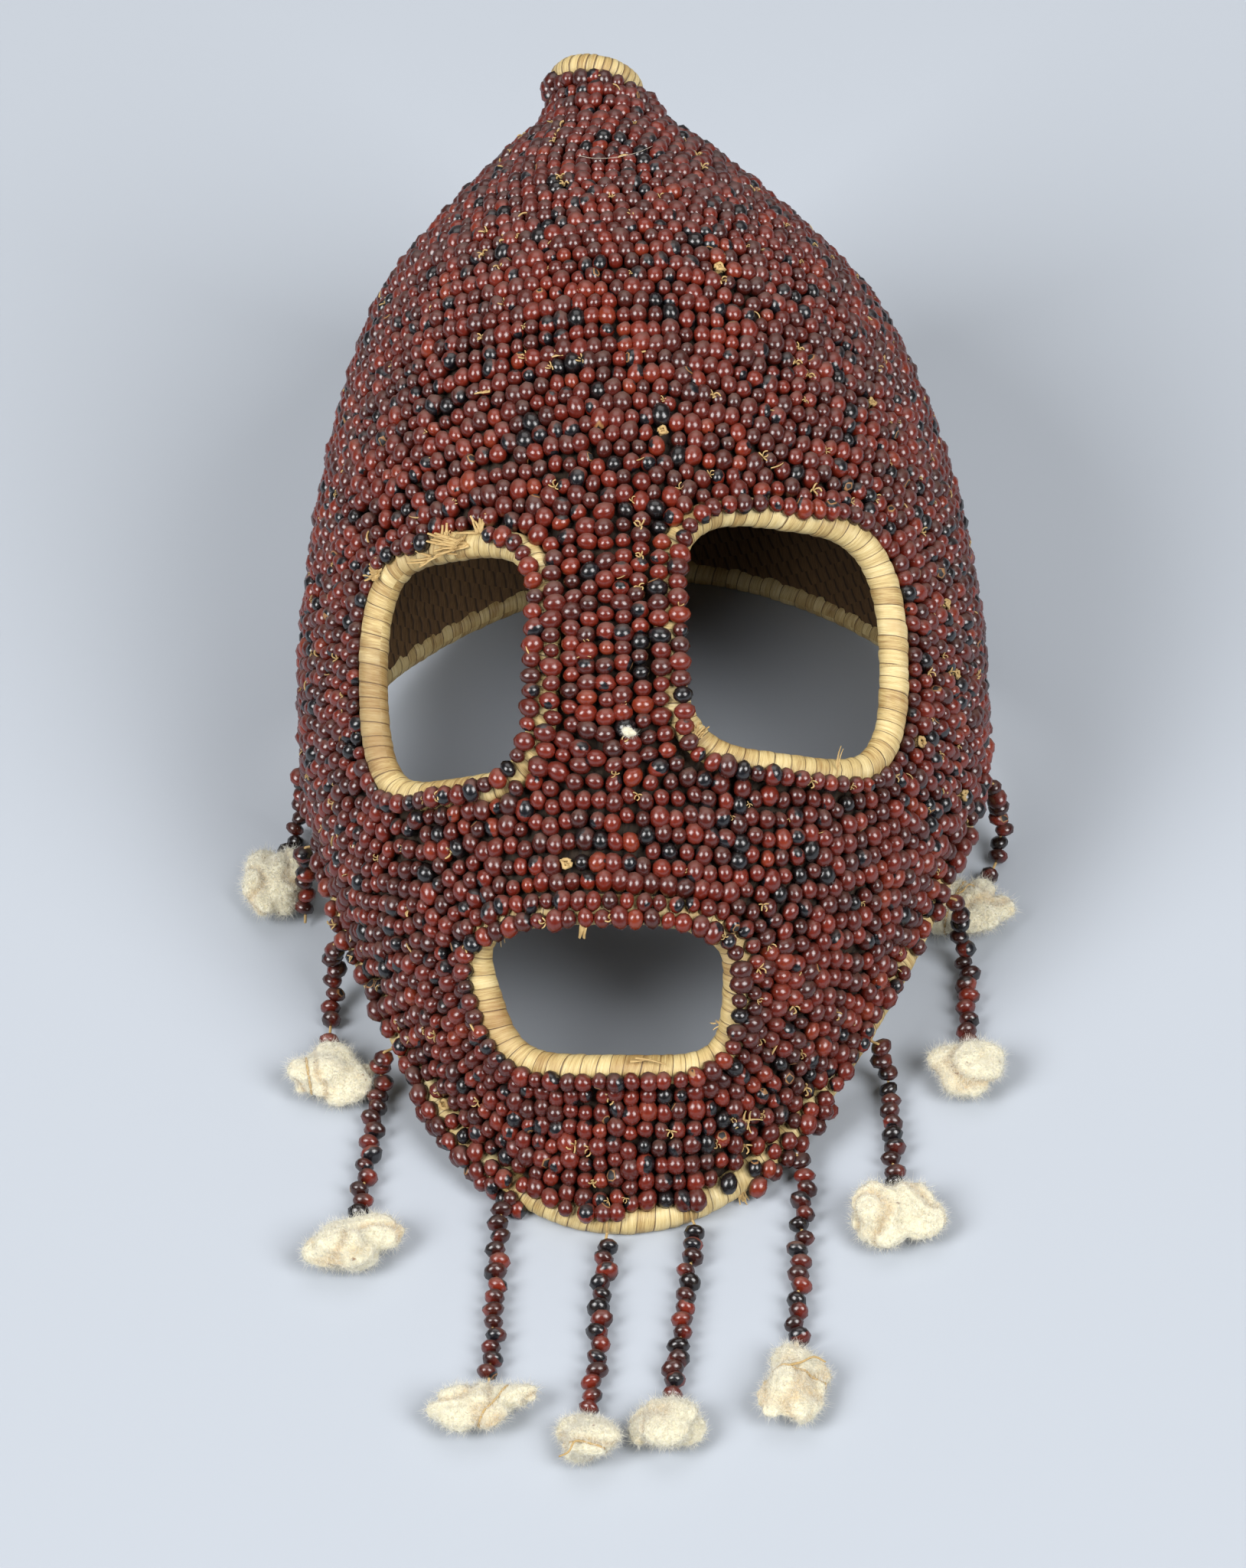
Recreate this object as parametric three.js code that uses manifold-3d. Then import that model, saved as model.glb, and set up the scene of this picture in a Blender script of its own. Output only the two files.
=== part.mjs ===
// A helmet mask: an egg-shaped basketry hood under a skin of strung seeds, with two eyes, a mouth
// and a crown ring bound in straw coil, and seed strands with cotton tufts along its lower edge.
// It lies as a mask lies down, on the edge of its open back, with the face looking up and forward.
//
// Units are millimetres. The hood is worked out in the face's frame (x across the face, y into the
// hood, z up the face from the chin) and then leaned back onto its edge: +Z up, -Y to the chin.
import * as THREE from "three";
import { mergeVertices } from "three/addons/utils/BufferGeometryUtils.js";
import Module from "manifold-3d";

const wasm = await Module();
wasm.setup();

const radians = THREE.MathUtils.degToRad;
const gap = 0.35; // between pieces that touch

// How it lies
const leanBack = radians(48); // the face, from upright
const chinDepth = 78; // from the hood's middle forward to the chin's resting point

// The hood: an egg whose long axis leans back from the face
const axisLean = radians(12);
const axisPivotHeight = 150; // where the long axis crosses the face frame's own z axis
const hoodOutline = [
  // radius, height along the long axis from its pivot: the chin's cut end to the crown
  [40, -180],
  [62, -143],
  [81, -103],
  [97.5, -62],
  [110, -18],
  [114, 22],
  [110, 68],
  [100, 114],
  [85, 153],
  [63, 181],
  [39, 205],
  [24.5, 217],
  [17.5, 228],
];
const backFlattening = 0.95;
// The crown sits this far to one side; the hood bends over to it from a height on the long axis
const crownShift = { reach: 15, from: -40, height: 255, most: 1.1, bend: 2.5 };
// Its end is cut at a slope, higher in front and on the left, which the last rows of seeds follow
const crownCut = { from: 0.8, toFront: 0.25, toRight: -0.12 };
const muzzle = { rise: 5, height: 78, halfWidth: 40, halfHeight: 38 };
const noseBridge = { rise: 3.5, height: 185, halfWidth: 17, halfHeight: 50 };

// Layers of the wall, as depths under the seeds' tips
const seedLayer = { outer: 0, inner: 4.7 };
const basketLayer = { outer: 4.7 + gap, inner: 9.2 };
const wallMiddle = 4.7; // the depth that the coils are centred on

// Coils bound round the edges
const coilRadius = 4.7;
const wornFlat = 1; // how deep the lower coil is flattened where the mask rests on it
const crownCoil = { radius: 4.6, ringRadius: 11.6, askew: -3.8 }; // it sits off the crown's middle
const edgeLift = 29; // how high the lower edge arches between chin and back
const edgeArchPower = 1.5;

// Openings, by turn round the hood in degrees and by place along its outline (0 chin, 1 crown).
// A squareness of 2 is an ellipse, and a slant leans the opening round the hood.
const openings = [
  { name: "left_eye", turn: -29, place: 0.387, halfTurn: 18, halfPlace: 0.079, squareness: 3.7, slant: 1 },
  { name: "right_eye", turn: 31, place: 0.404, halfTurn: 21.3, halfPlace: 0.081, squareness: 3.6, slant: -1 },
  { name: "mouth", turn: -1.2, place: 0.186, halfTurn: 29, halfPlace: 0.0495, squareness: 3.5, slant: -2 },
];

// Strung seeds that hang from the lower edge, by turn round the hood
const bead = { radius: 3.3, neckRadius: 1.5, pitch: 4.85, sides: 5 };
const strands = [
  { turn: -97, beads: 8, heading: -14 },
  { turn: -87, beads: 6, heading: 4 },
  { turn: -78, beads: 9, heading: 2 },
  { turn: -68, beads: 14, heading: -2 },
  { turn: -38, beads: 14, heading: 1 },
  { turn: -4, beads: 14, heading: 0 },
  { turn: 25, beads: 14, heading: -3 },
  { turn: 53, beads: 15, heading: 0 },
  { turn: 69, beads: 12, heading: 4 },
  { turn: 82, beads: 13, heading: 2 },
  { turn: 95, beads: 10, heading: -18 },
  { turn: 142, beads: 10, heading: -160 },
  { turn: 178, beads: 9, heading: 178 },
  { turn: -145, beads: 10, heading: 163 },
];
// Cotton tufts that end them: the strand each is tied to, its length, width and height
const tufts = [
  { strand: 0, length: 30, width: 25, height: 15 },
  { strand: 2, length: 26, width: 30, height: 15 },
  { strand: 3, length: 27, width: 33, height: 16 },
  { strand: 4, length: 23, width: 35, height: 16 },
  { strand: 5, length: 23, width: 23, height: 14 },
  { strand: 6, length: 21, width: 26, height: 14 },
  { strand: 7, length: 34, width: 23, height: 15 },
  { strand: 8, length: 27, width: 30, height: 16 },
  { strand: 9, length: 24, width: 29, height: 15 },
  { strand: 10, length: 22, width: 34, height: 15 },
  { strand: 11, length: 25, width: 28, height: 15 },
  { strand: 12, length: 24, width: 26, height: 14 },
  { strand: 13, length: 26, width: 27, height: 15 },
];

const colours = {
  seeds: 0x5a2420,
  basket: 0x6b4c2a,
  coil: 0xd9c48e,
  cotton: 0xeee6cb,
};

const outline = new THREE.SplineCurve(hoodOutline.map(([r, h]) => new THREE.Vector2(r, h)));

// A point of the hood at a turn round it and a place along its outline, in the resting frame
function surfacePoint(turn, place) {
  const { x: radius, y: along } = outline.getPoint(THREE.MathUtils.clamp(place, 0, 1));
  const slope = Math.cos(turn) * crownCut.toFront + Math.sin(turn) * crownCut.toRight;
  const nearCrown = THREE.MathUtils.clamp((place - crownCut.from) / (1 - crownCut.from), 0, 1);
  const height = along + radius * slope * nearCrown ** 2;
  let across = Math.sin(turn) * radius;
  let back = -Math.cos(turn) * radius;
  if (back > 0) back *= backFlattening;
  else {
    const up = axisPivotHeight + height * Math.cos(axisLean) - back * Math.sin(axisLean);
    const rise = (form) =>
      form.rise *
      Math.exp(-((across / form.halfWidth) ** 2) - ((up - form.height) / form.halfHeight) ** 2);
    const swell = 1 + (rise(muzzle) + rise(noseBridge)) / radius;
    across *= swell;
    back *= swell;
  }
  const over = (height - crownShift.from) / crownShift.height;
  across -= crownShift.reach * THREE.MathUtils.clamp(over, 0, crownShift.most) ** crownShift.bend;
  const y = back * Math.cos(axisLean) + height * Math.sin(axisLean);
  const z = axisPivotHeight + height * Math.cos(axisLean) - back * Math.sin(axisLean);
  return new THREE.Vector3(
    across,
    y * Math.cos(leanBack) + z * Math.sin(leanBack),
    -y * Math.sin(leanBack) + z * Math.cos(leanBack) - chinDepth * Math.sin(leanBack),
  );
}

const fineStep = 1e-3; // of turn or place, to measure the hood's slope by
function surfaceNormal(turn, place) {
  const low = Math.max(place - fineStep, 0);
  const high = Math.min(place + fineStep, 1);
  const round = surfacePoint(turn + fineStep, place).sub(surfacePoint(turn - fineStep, place));
  const along = surfacePoint(turn, high).sub(surfacePoint(turn, low));
  return round.cross(along).normalize();
}

// The same point, sunk under the seeds' tips
function wallPoint(turn, place, depth) {
  return surfacePoint(turn, place).addScaledVector(surfaceNormal(turn, place), -depth);
}

// Place on the outline where the wall comes down to the coil's middle, over an edge that rises
// by a height worked out from how far back it is
const searchSteps = 40;
const highestEdge = 0.7; // place on the outline that the edge never reaches
function coilPlaceOver(turn, rise) {
  let low = 0;
  let high = highestEdge;
  for (let i = 0; i < searchSteps; i++) {
    const middle = (low + high) / 2;
    const point = wallPoint(turn, middle, wallMiddle);
    if (point.z > rise(point.y) + coilRadius - wornFlat) high = middle;
    else low = middle;
  }
  return high;
}

// The edge rests at the chin and at the back, and arches between them
const restingPoint = (turn) => wallPoint(turn, coilPlaceOver(turn, () => 0), wallMiddle);
const chinRest = restingPoint(0).y;
const backRest = restingPoint(Math.PI).y;
function edgeHeight(y) {
  const along = THREE.MathUtils.clamp((y - chinRest) / (backRest - chinRest), 0, 1);
  return edgeLift * Math.sin(Math.PI * along) ** edgeArchPower;
}
const coilPlace = (turn) => coilPlaceOver(turn, edgeHeight);

// The middle line of the lower coil
function lowerCoilLine(steps) {
  const turns = Array.from({ length: steps }, (_, i) => (i / steps) * 2 * Math.PI);
  return turns.map((turn) => wallPoint(turn, coilPlace(turn), wallMiddle));
}

// Place where the wall stops, just clear of the coil
const fineCoilSteps = 240;
const fineCoilLine = lowerCoilLine(fineCoilSteps);
const facetRoom = 0.75; // the wall's flat facets cut inside its curve by about this much
function wallPlace(turn) {
  const reach = coilRadius + gap + facetRoom;
  const clear = (place) => {
    const point = wallPoint(turn, place, wallMiddle);
    return fineCoilLine.every((coil) => coil.distanceTo(point) > reach);
  };
  let place = coilPlace(turn);
  do place += fineStep;
  while (!clear(place));
  return place;
}

// A closed solid through rings of points, either joined end to end or capped. The sides after
// the fold split the other way, so that the two faces of a wall have matching facets.
function solidThrough(rings, joined, fold = Infinity) {
  const count = rings[0].length;
  const positions = rings.flat().flatMap((p) => p.toArray());
  const index = [];
  const spans = joined ? rings.length : rings.length - 1;
  for (let i = 0; i < spans; i++) {
    const next = ((i + 1) % rings.length) * count;
    for (let j = 0; j < count; j++) {
      const k = (j + 1) % count;
      const [a, b, c, d] = [i * count + j, next + j, next + k, i * count + k];
      index.push(...(j < fold ? [a, b, c, a, c, d] : [a, b, d, b, c, d]));
    }
  }
  if (!joined) {
    for (const [ring, turned] of [[0, false], [rings.length - 1, true]]) {
      const centre = new THREE.Vector3();
      rings[ring].forEach((p) => centre.addScaledVector(p, 1 / count));
      const middle = positions.length / 3;
      positions.push(...centre.toArray());
      for (let j = 0; j < count; j++) {
        const a = ring * count + j;
        const b = ring * count + ((j + 1) % count);
        index.push(...(turned ? [middle, b, a] : [middle, a, b]));
      }
    }
  }
  const geometry = new THREE.BufferGeometry();
  geometry.setAttribute("position", new THREE.Float32BufferAttribute(positions, 3));
  geometry.setIndex(index);
  return geometry;
}

function toSolid(geometry) {
  const merged = mergeVertices(geometry, 1e-4);
  return new wasm.Manifold(
    new wasm.Mesh({
      numProp: 3,
      vertProperties: merged.attributes.position.array,
      triVerts: new Uint32Array(merged.index.array),
    }),
  );
}

function toGeometry(solid) {
  const mesh = solid.getMesh();
  const geometry = new THREE.BufferGeometry();
  geometry.setAttribute("position", new THREE.Float32BufferAttribute(mesh.vertProperties, 3));
  geometry.setIndex([...mesh.triVerts]);
  return geometry;
}

// One layer of the hood's wall, from the lower coil to the crown
const wallTurns = 30;
const wallRows = 10;
function wallLayer({ outer, inner }) {
  const rings = [];
  for (let i = 0; i < wallTurns; i++) {
    const turn = (i / wallTurns) * 2 * Math.PI;
    const bottom = wallPlace(turn);
    const rise = (1 - bottom) / wallRows;
    const places = Array.from({ length: wallRows + 1 }, (_, j) => bottom + rise * j);
    rings.push([
      ...places.map((place) => wallPoint(turn, place, outer)),
      ...places.reverse().map((place) => wallPoint(turn, place, inner)),
    ]);
  }
  return toSolid(solidThrough(rings, true, wallRows + 1));
}

// Turn and place at an angle round an opening's outline, moved out or in by a distance, which
// the lengths of a small turn and a small step along the outline convert
const smallTurn = 0.05;
const smallPlace = 0.02;
function openingAt(opening, angle, outward = 0) {
  const power = 2 / opening.squareness;
  const bend = (value) => Math.sign(value) * Math.abs(value) ** power;
  const side = bend(Math.cos(angle));
  const rise = bend(Math.sin(angle));
  const turn = radians(opening.turn);
  const middle = surfacePoint(turn, opening.place);
  const turnLength = surfacePoint(turn + smallTurn, opening.place).distanceTo(middle) / smallTurn;
  const placeLength = surfacePoint(turn, opening.place + smallPlace).distanceTo(middle) / smallPlace;
  const halfTurn = radians(opening.halfTurn) + outward / turnLength;
  const halfPlace = opening.halfPlace + outward / placeLength;
  return [turn + halfTurn * side + radians(opening.slant) * rise, opening.place + halfPlace * rise];
}

const openingSides = 22;
function openingAngles() {
  return Array.from({ length: openingSides }, (_, i) => ((i + 0.5) / openingSides) * 2 * Math.PI);
}

// The plug that an opening takes out of the wall, as wide as the coil bound round it
const plugReach = { out: 22, in: 17 }; // past the wall's curve on both sides
const plugRoom = 0.25; // for the flat facets of the plug's sides
function openingPlug(opening) {
  const ring = (depth) =>
    openingAngles().map((angle) => {
      const [turn, place] = openingAt(opening, angle, coilRadius + gap + plugRoom);
      return wallPoint(turn, place, depth);
    });
  return toSolid(solidThrough([ring(-plugReach.out), ring(plugReach.in)], false));
}

// A coil swept along a path that closes on itself
function closedCoil(path, facings, radius, sides, roll = 0) {
  const rings = path.map((point, i) => {
    const before = path[(i + path.length - 1) % path.length];
    const after = path[(i + 1) % path.length];
    const ahead = after.clone().sub(before).normalize();
    const out = facings[i].clone().addScaledVector(ahead, -facings[i].dot(ahead)).normalize();
    const side = out.clone().cross(ahead);
    return Array.from({ length: sides }, (_, j) => {
      const angle = (j / sides) * 2 * Math.PI + roll;
      return point
        .clone()
        .addScaledVector(out, Math.cos(angle) * radius)
        .addScaledVector(side, Math.sin(angle) * radius);
    });
  });
  return solidThrough(rings, true);
}

const openingCoilSides = 6;
function openingCoil(opening) {
  const spots = openingAngles().map((angle) => openingAt(opening, angle));
  const path = spots.map(([turn, place]) => wallPoint(turn, place, wallMiddle));
  const facings = spots.map(([turn, place]) => surfaceNormal(turn, place));
  return closedCoil(path, facings, coilRadius, openingCoilSides);
}

const lowerCoilSteps = 46;
const coilSides = 8;
const flatFacetRoll = Math.PI / coilSides; // turns a facet of the coil down
function lowerCoil() {
  const path = lowerCoilLine(lowerCoilSteps);
  const up = path.map(() => new THREE.Vector3(0, 0, 1));
  const geometry = closedCoil(path, up, coilRadius, coilSides, flatFacetRoll);
  const position = geometry.getAttribute("position");
  for (let i = 0; i < position.count; i++) {
    position.setZ(i, Math.max(position.getZ(i), 0));
  }
  return geometry;
}

// The ring sits on the crown's open end
const crownCoilSteps = 14;
function crownRing() {
  const rim = [0, 1, 2, 3].map((quarter) => surfacePoint((quarter / 2) * Math.PI, 1));
  const across = rim[1].clone().sub(rim[3]).normalize();
  const forward = rim[0].clone().sub(rim[2]).normalize();
  const axis = across.clone().cross(forward).normalize();
  if (axis.y < 0) axis.negate();
  const centre = rim[0].clone().add(rim[2]).multiplyScalar(0.5);
  centre.addScaledVector(axis, crownCoil.radius + gap).addScaledVector(across, crownCoil.askew);
  const turns = Array.from({ length: crownCoilSteps }, (_, i) => (i / crownCoilSteps) * 2 * Math.PI);
  const path = turns.map((turn) =>
    centre
      .clone()
      .addScaledVector(across, Math.sin(turn) * crownCoil.ringRadius)
      .addScaledVector(forward, Math.cos(turn) * crownCoil.ringRadius),
  );
  const facings = turns.map(() => axis);
  return closedCoil(path, facings, crownCoil.radius, coilSides, flatFacetRoll);
}

// The line a strand takes: off the lower coil's outer side, down, and along the ground it lies on
const groundHeight = bead.radius + 0.2;
const shortDrop = 4; // from a coil so low that the strand runs straight onto the ground
const hangLean = 1.5; // how far out a hanging strand leans on its way down
const landing = { lean: 3, run: 5, bow: 0.45 }; // where it meets the ground, and how it bows there
const groundRun = [18, 40, 70, 110]; // points of its run along the ground
const strandDivisions = 400;
function strandLine({ turn, heading }) {
  const angle = radians(turn);
  const coil = wallPoint(angle, coilPlace(angle), wallMiddle);
  const out = surfaceNormal(angle, coilPlace(angle)).setZ(0).normalize();
  const run = new THREE.Vector3(Math.sin(radians(heading)), -Math.cos(radians(heading)), 0);
  const start = coil.clone().addScaledVector(out, coilRadius + bead.radius + gap);
  start.z = Math.max(coil.z, groundHeight);
  const drop = start.z - groundHeight;
  const points = [start];
  if (drop > shortDrop) {
    const hanging = start.clone().addScaledVector(out, hangLean);
    const landed = start.clone().addScaledVector(out, landing.lean).addScaledVector(run, landing.run);
    points.push(hanging.setZ(groundHeight + drop * landing.bow), landed.setZ(groundHeight));
  }
  const landed = points[points.length - 1];
  for (const distance of groundRun) {
    points.push(landed.clone().addScaledVector(run, distance).setZ(groundHeight));
  }
  const line = new THREE.CatmullRomCurve3(points, false, "centripetal");
  line.arcLengthDivisions = strandDivisions;
  return line;
}

function alongLine(line, distance) {
  const u = Math.min(distance / line.getLength(), 1);
  const point = line.getPointAt(u);
  point.z = Math.max(point.z, groundHeight);
  return { point, ahead: line.getTangentAt(u) };
}

// A ring of points square to a direction, with its first point level with the middle
const steepest = 0.2; // a direction whose level part is shorter than this counts as upright
function ringAround(point, ahead, sides, radiusAt) {
  const level = new THREE.Vector3(ahead.y, -ahead.x, 0);
  if (level.length() < steepest) level.set(1, 0, 0);
  const side = level.addScaledVector(ahead, -level.dot(ahead)).normalize();
  const up = side.clone().cross(ahead).normalize();
  return Array.from({ length: sides }, (_, j) => {
    const angle = (j / sides) * 2 * Math.PI;
    const [wide, high] = radiusAt(angle);
    return point
      .clone()
      .addScaledVector(side, Math.cos(angle) * wide)
      .addScaledVector(up, Math.sin(angle) * high);
  });
}

function seedStrand(strand) {
  const line = strandLine(strand);
  const rings = [];
  for (let half = 0; half <= 2 * strand.beads; half++) {
    const radius = half % 2 ? bead.radius : bead.neckRadius;
    const { point, ahead } = alongLine(line, (half / 2) * bead.pitch);
    rings.push(ringAround(point, ahead, bead.sides, () => [radius, radius]));
  }
  return solidThrough(rings, false);
}

// A tuft lies flat on the ground, fuller in its middle and lumpy round its sides
const tuftSides = 6;
const tuftSections = [0.04, 0.26, 0.52, 0.78, 0.97]; // along its length
const tuftForm = { start: 0.12, span: 0.8, fullness: 0.7, lump: 0.1, foot: 0.2 };
function cottonTuft(tuft, number) {
  const strand = strands[tuft.strand];
  const line = strandLine(strand);
  const { point, ahead } = alongLine(line, strand.beads * bead.pitch);
  ahead.setZ(0).normalize();
  const rings = tuftSections.map((part, i) => {
    const swell = Math.sin(Math.PI * (tuftForm.start + tuftForm.span * part));
    const fullness = swell ** tuftForm.fullness;
    const centre = point.clone().addScaledVector(ahead, gap + part * tuft.length);
    centre.z = tuft.height / 2;
    return ringAround(centre, ahead, tuftSides, (angle) => {
      const lump = 1 + tuftForm.lump * Math.sin(3 * angle + 2 * i + number);
      return [(tuft.width / 2) * fullness * lump, (tuft.height / 2) * fullness * lump];
    });
  });
  const geometry = solidThrough(rings, false);
  const position = geometry.getAttribute("position");
  for (let i = 0; i < position.count; i++) {
    position.setZ(i, Math.max(position.getZ(i), tuftForm.foot));
  }
  return geometry;
}

function finish(color, roughness) {
  return new THREE.MeshStandardMaterial({ color, roughness, metalness: 0 });
}
const finishes = {
  seeds: finish(colours.seeds, 0.3),
  basket: finish(colours.basket, 0.85),
  coil: finish(colours.coil, 0.7),
  cotton: finish(colours.cotton, 0.95),
};

function piece(name, geometry, finishName) {
  const mesh = new THREE.Mesh(geometry, finishes[finishName].clone());
  mesh.name = name;
  return mesh;
}

const plugs = openings.map(openingPlug);
function openedWall(layer) {
  return toGeometry(plugs.reduce((wall, plug) => wall.subtract(plug), wallLayer(layer)));
}

const hood = new THREE.Group();
hood.add(piece("basketry_hood", openedWall(basketLayer), "basket"));
hood.add(piece("seed_cover", openedWall(seedLayer), "seeds"));
for (const opening of openings) {
  hood.add(piece(opening.name + "_rim", openingCoil(opening), "coil"));
}
hood.add(piece("lower_rim", lowerCoil(), "coil"));
hood.add(piece("crown_ring", crownRing(), "coil"));

const tassels = new THREE.Group();
const numbered = (name, i) => name + "_" + String(i + 1).padStart(2, "0");
strands.forEach((strand, i) => {
  tassels.add(piece(numbered("seed_strand", i), seedStrand(strand), "seeds"));
});
tufts.forEach((tuft, i) => {
  tassels.add(piece(numbered("cotton_tuft", i), cottonTuft(tuft, i), "cotton"));
});

// The origin is under the middle of the whole object
const model = new THREE.Group();
model.add(hood, tassels);
const box = new THREE.Box3().setFromObject(model, true);
model.position.set(-(box.min.x + box.max.x) / 2, -(box.min.y + box.max.y) / 2, 0);

export default model;
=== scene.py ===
import math
import bpy
import numpy as np
from mathutils import Matrix, Vector
from mathutils.bvhtree import BVHTree
from mathutils.noise import noise


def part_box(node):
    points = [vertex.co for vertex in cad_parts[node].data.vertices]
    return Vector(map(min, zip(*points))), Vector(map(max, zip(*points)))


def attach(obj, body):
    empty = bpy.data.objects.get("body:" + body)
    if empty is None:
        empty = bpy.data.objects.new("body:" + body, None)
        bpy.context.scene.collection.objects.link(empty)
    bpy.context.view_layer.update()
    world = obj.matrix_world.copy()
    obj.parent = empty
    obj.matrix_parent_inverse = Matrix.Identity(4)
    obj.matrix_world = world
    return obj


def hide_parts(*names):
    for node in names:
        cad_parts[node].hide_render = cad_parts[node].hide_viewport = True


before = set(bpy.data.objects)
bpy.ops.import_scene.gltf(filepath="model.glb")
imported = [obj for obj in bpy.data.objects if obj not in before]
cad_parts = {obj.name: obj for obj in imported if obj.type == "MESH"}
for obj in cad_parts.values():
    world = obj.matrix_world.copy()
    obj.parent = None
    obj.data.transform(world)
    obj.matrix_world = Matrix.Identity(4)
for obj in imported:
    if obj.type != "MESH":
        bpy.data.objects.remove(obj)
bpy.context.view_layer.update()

# A basketry hood under strung seeds, lying on the edge of its open back. The sums on its form are
# in millimetres, and become metres where a mesh is made.
mm = 0.001
rad = math.radians


# A node's output that can stand in a sum: each operator adds the Math node for it
class Value:
    def __init__(self, tree, socket):
        self.tree = tree
        self.socket = socket

    # Another output of the same node
    def other(self, output):
        return Value(self.tree, self.socket.node.outputs[output])

    def __add__(self, other):
        return self.tree.math("ADD", self, other)

    def __sub__(self, other):
        return self.tree.math("SUBTRACT", self, other)

    def __rsub__(self, other):
        return self.tree.math("SUBTRACT", other, self)

    def __mul__(self, other):
        return self.tree.math("MULTIPLY", self, other)

    def __truediv__(self, other):
        return self.tree.math("DIVIDE", self, other)

    __radd__ = __add__
    __rmul__ = __mul__


class Tree:
    def __init__(self, nodeTree):
        self.nodeTree = nodeTree

    # A node of any type: its settings first, then the values or links of its sockets
    def node(self, kind, settings=None, sockets=None, output=0):
        made = self.nodeTree.nodes.new(kind)
        for name, value in (settings or {}).items():
            if name == "stops":
                self.setStops(made.color_ramp.elements, value)
            else:
                setattr(made, name, value)
        for name, value in (sockets or {}).items():
            if isinstance(value, list):  # several parts in one socket, which lists the last first
                for part in reversed(value):
                    self.nodeTree.links.new(part.socket, made.inputs[name])
            elif isinstance(value, Value):
                self.nodeTree.links.new(value.socket, made.inputs[name])
            else:
                made.inputs[name].default_value = value
        return Value(self, made.outputs[output]) if len(made.outputs) else made

    def setStops(self, elements, stops):
        while len(elements) < len(stops):
            elements.new(1)
        for element, (place, colour) in zip(elements, stops):
            element.position = place
            element.color = colour

    def math(self, operation, *values, clamp=False):
        settings = {"operation": operation, "use_clamp": clamp}
        return self.node("ShaderNodeMath", settings, dict(enumerate(values)))

    def vector(self, operation, *values, output=0):
        settings = {"operation": operation}
        return self.node("ShaderNodeVectorMath", settings, dict(enumerate(values)), output)

    def dot(self, first, second):
        return self.vector("DOT_PRODUCT", first, second, output="Value")

    def scale(self, vector, factor):
        sockets = {0: vector, "Scale": factor}
        return self.node("ShaderNodeVectorMath", {"operation": "SCALE"}, sockets)

    def separate(self, vector):
        first = self.node("ShaderNodeSeparateXYZ", {}, {0: vector})
        return [first.other(axis) for axis in range(3)]

    def combine(self, *parts):
        return self.node("ShaderNodeCombineXYZ", {}, dict(enumerate(parts)))

    # 0 below low, 1 above high, and smooth between
    def step(self, value, low, high):
        sockets = {"Value": value, "From Min": low, "From Max": high}
        return self.node("ShaderNodeMapRange", {"interpolation_type": "SMOOTHSTEP"}, sockets)

    def mix(self, mask, first, second):
        sockets = {"Factor": mask, 6: first, 7: second}
        return self.node("ShaderNodeMix", {"data_type": "RGBA"}, sockets, 2)

    def ramp(self, value, stops):
        return self.node("ShaderNodeValToRGB", {"stops": stops}, {"Fac": value})

    def attribute(self, name, output="Fac"):
        return self.node("ShaderNodeAttribute", {"attribute_name": name}, {}, output)

    def noise(self, vector, scale, detail=2, roughness=0.5):
        sockets = {"Vector": vector, "Scale": scale, "Detail": detail, "Roughness": roughness}
        return self.node("ShaderNodeTexNoise", {}, sockets)

    # A chance for each whole number
    def draw(self, number):
        return self.node("ShaderNodeTexWhiteNoise", {"noise_dimensions": "1D"}, {"W": number})

    def bump(self, height, strength, distance):
        sockets = {"Height": height, "Strength": strength, "Distance": distance}
        return self.node("ShaderNodeBump", {}, sockets)

    def objectPoint(self):
        return self.node("ShaderNodeTexCoord", {}, {}, "Object")

    # Geometry nodes: a random value, one stored on a geometry, and one read from it
    def random(self, kind, low, high, seed):
        first, second, output = {"FLOAT_VECTOR": (0, 1, 0), "FLOAT": (2, 3, 1), "INT": (4, 5, 2)}[kind]
        sockets = {first: low, second: high, "Seed": seed}
        return self.node("FunctionNodeRandomValue", {"data_type": kind}, sockets, output)

    def store(self, geometry, name, value, kind="FLOAT_VECTOR", domain="POINT"):
        sockets = {"Geometry": geometry, "Name": name, "Value": value}
        settings = {"data_type": kind, "domain": domain}
        return self.node("GeometryNodeStoreNamedAttribute", settings, sockets)

    def stored(self, name, kind="FLOAT_VECTOR"):
        return self.node("GeometryNodeInputNamedAttribute", {"data_type": kind}, {"Name": name})

    def smooth(self, geometry):
        return self.node("GeometryNodeSetShadeSmooth", {}, {"Geometry": geometry})

    def moved(self, geometry, offset):
        return self.node("GeometryNodeSetPosition", {}, {"Geometry": geometry, "Offset": offset})

    def asInstance(self, geometry):
        return self.node("GeometryNodeGeometryToInstance", {}, {"Geometry": geometry})

    def together(self, parts):
        return self.node("GeometryNodeJoinGeometry", {}, {0: parts})

    # Turned to face out of the hood and run with a row, as the points' attributes say
    def facingOut(self):
        settings = {"primary_axis": "Z", "secondary_axis": "X"}
        sockets = {"Primary Axis": self.stored("facing"), "Secondary Axis": self.stored("heading")}
        return self.node("FunctionNodeAxesToRotation", settings, sockets)

    # A rotation, turned on by angles about its own axes
    def turnedOn(self, rotation, angles):
        turn = self.node("FunctionNodeEulerToRotation", {}, {"Euler": angles})
        sockets = {"Rotation": rotation, "Rotate By": turn}
        return self.node("FunctionNodeRotateRotation", {"rotation_space": "LOCAL"}, sockets)


# A screen colour, 0 to 255, as the light it stands for
def paint(*colour):
    return (*(((part / 255 + 0.055) / 1.055) ** 2.4 for part in colour), 1)


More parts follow.
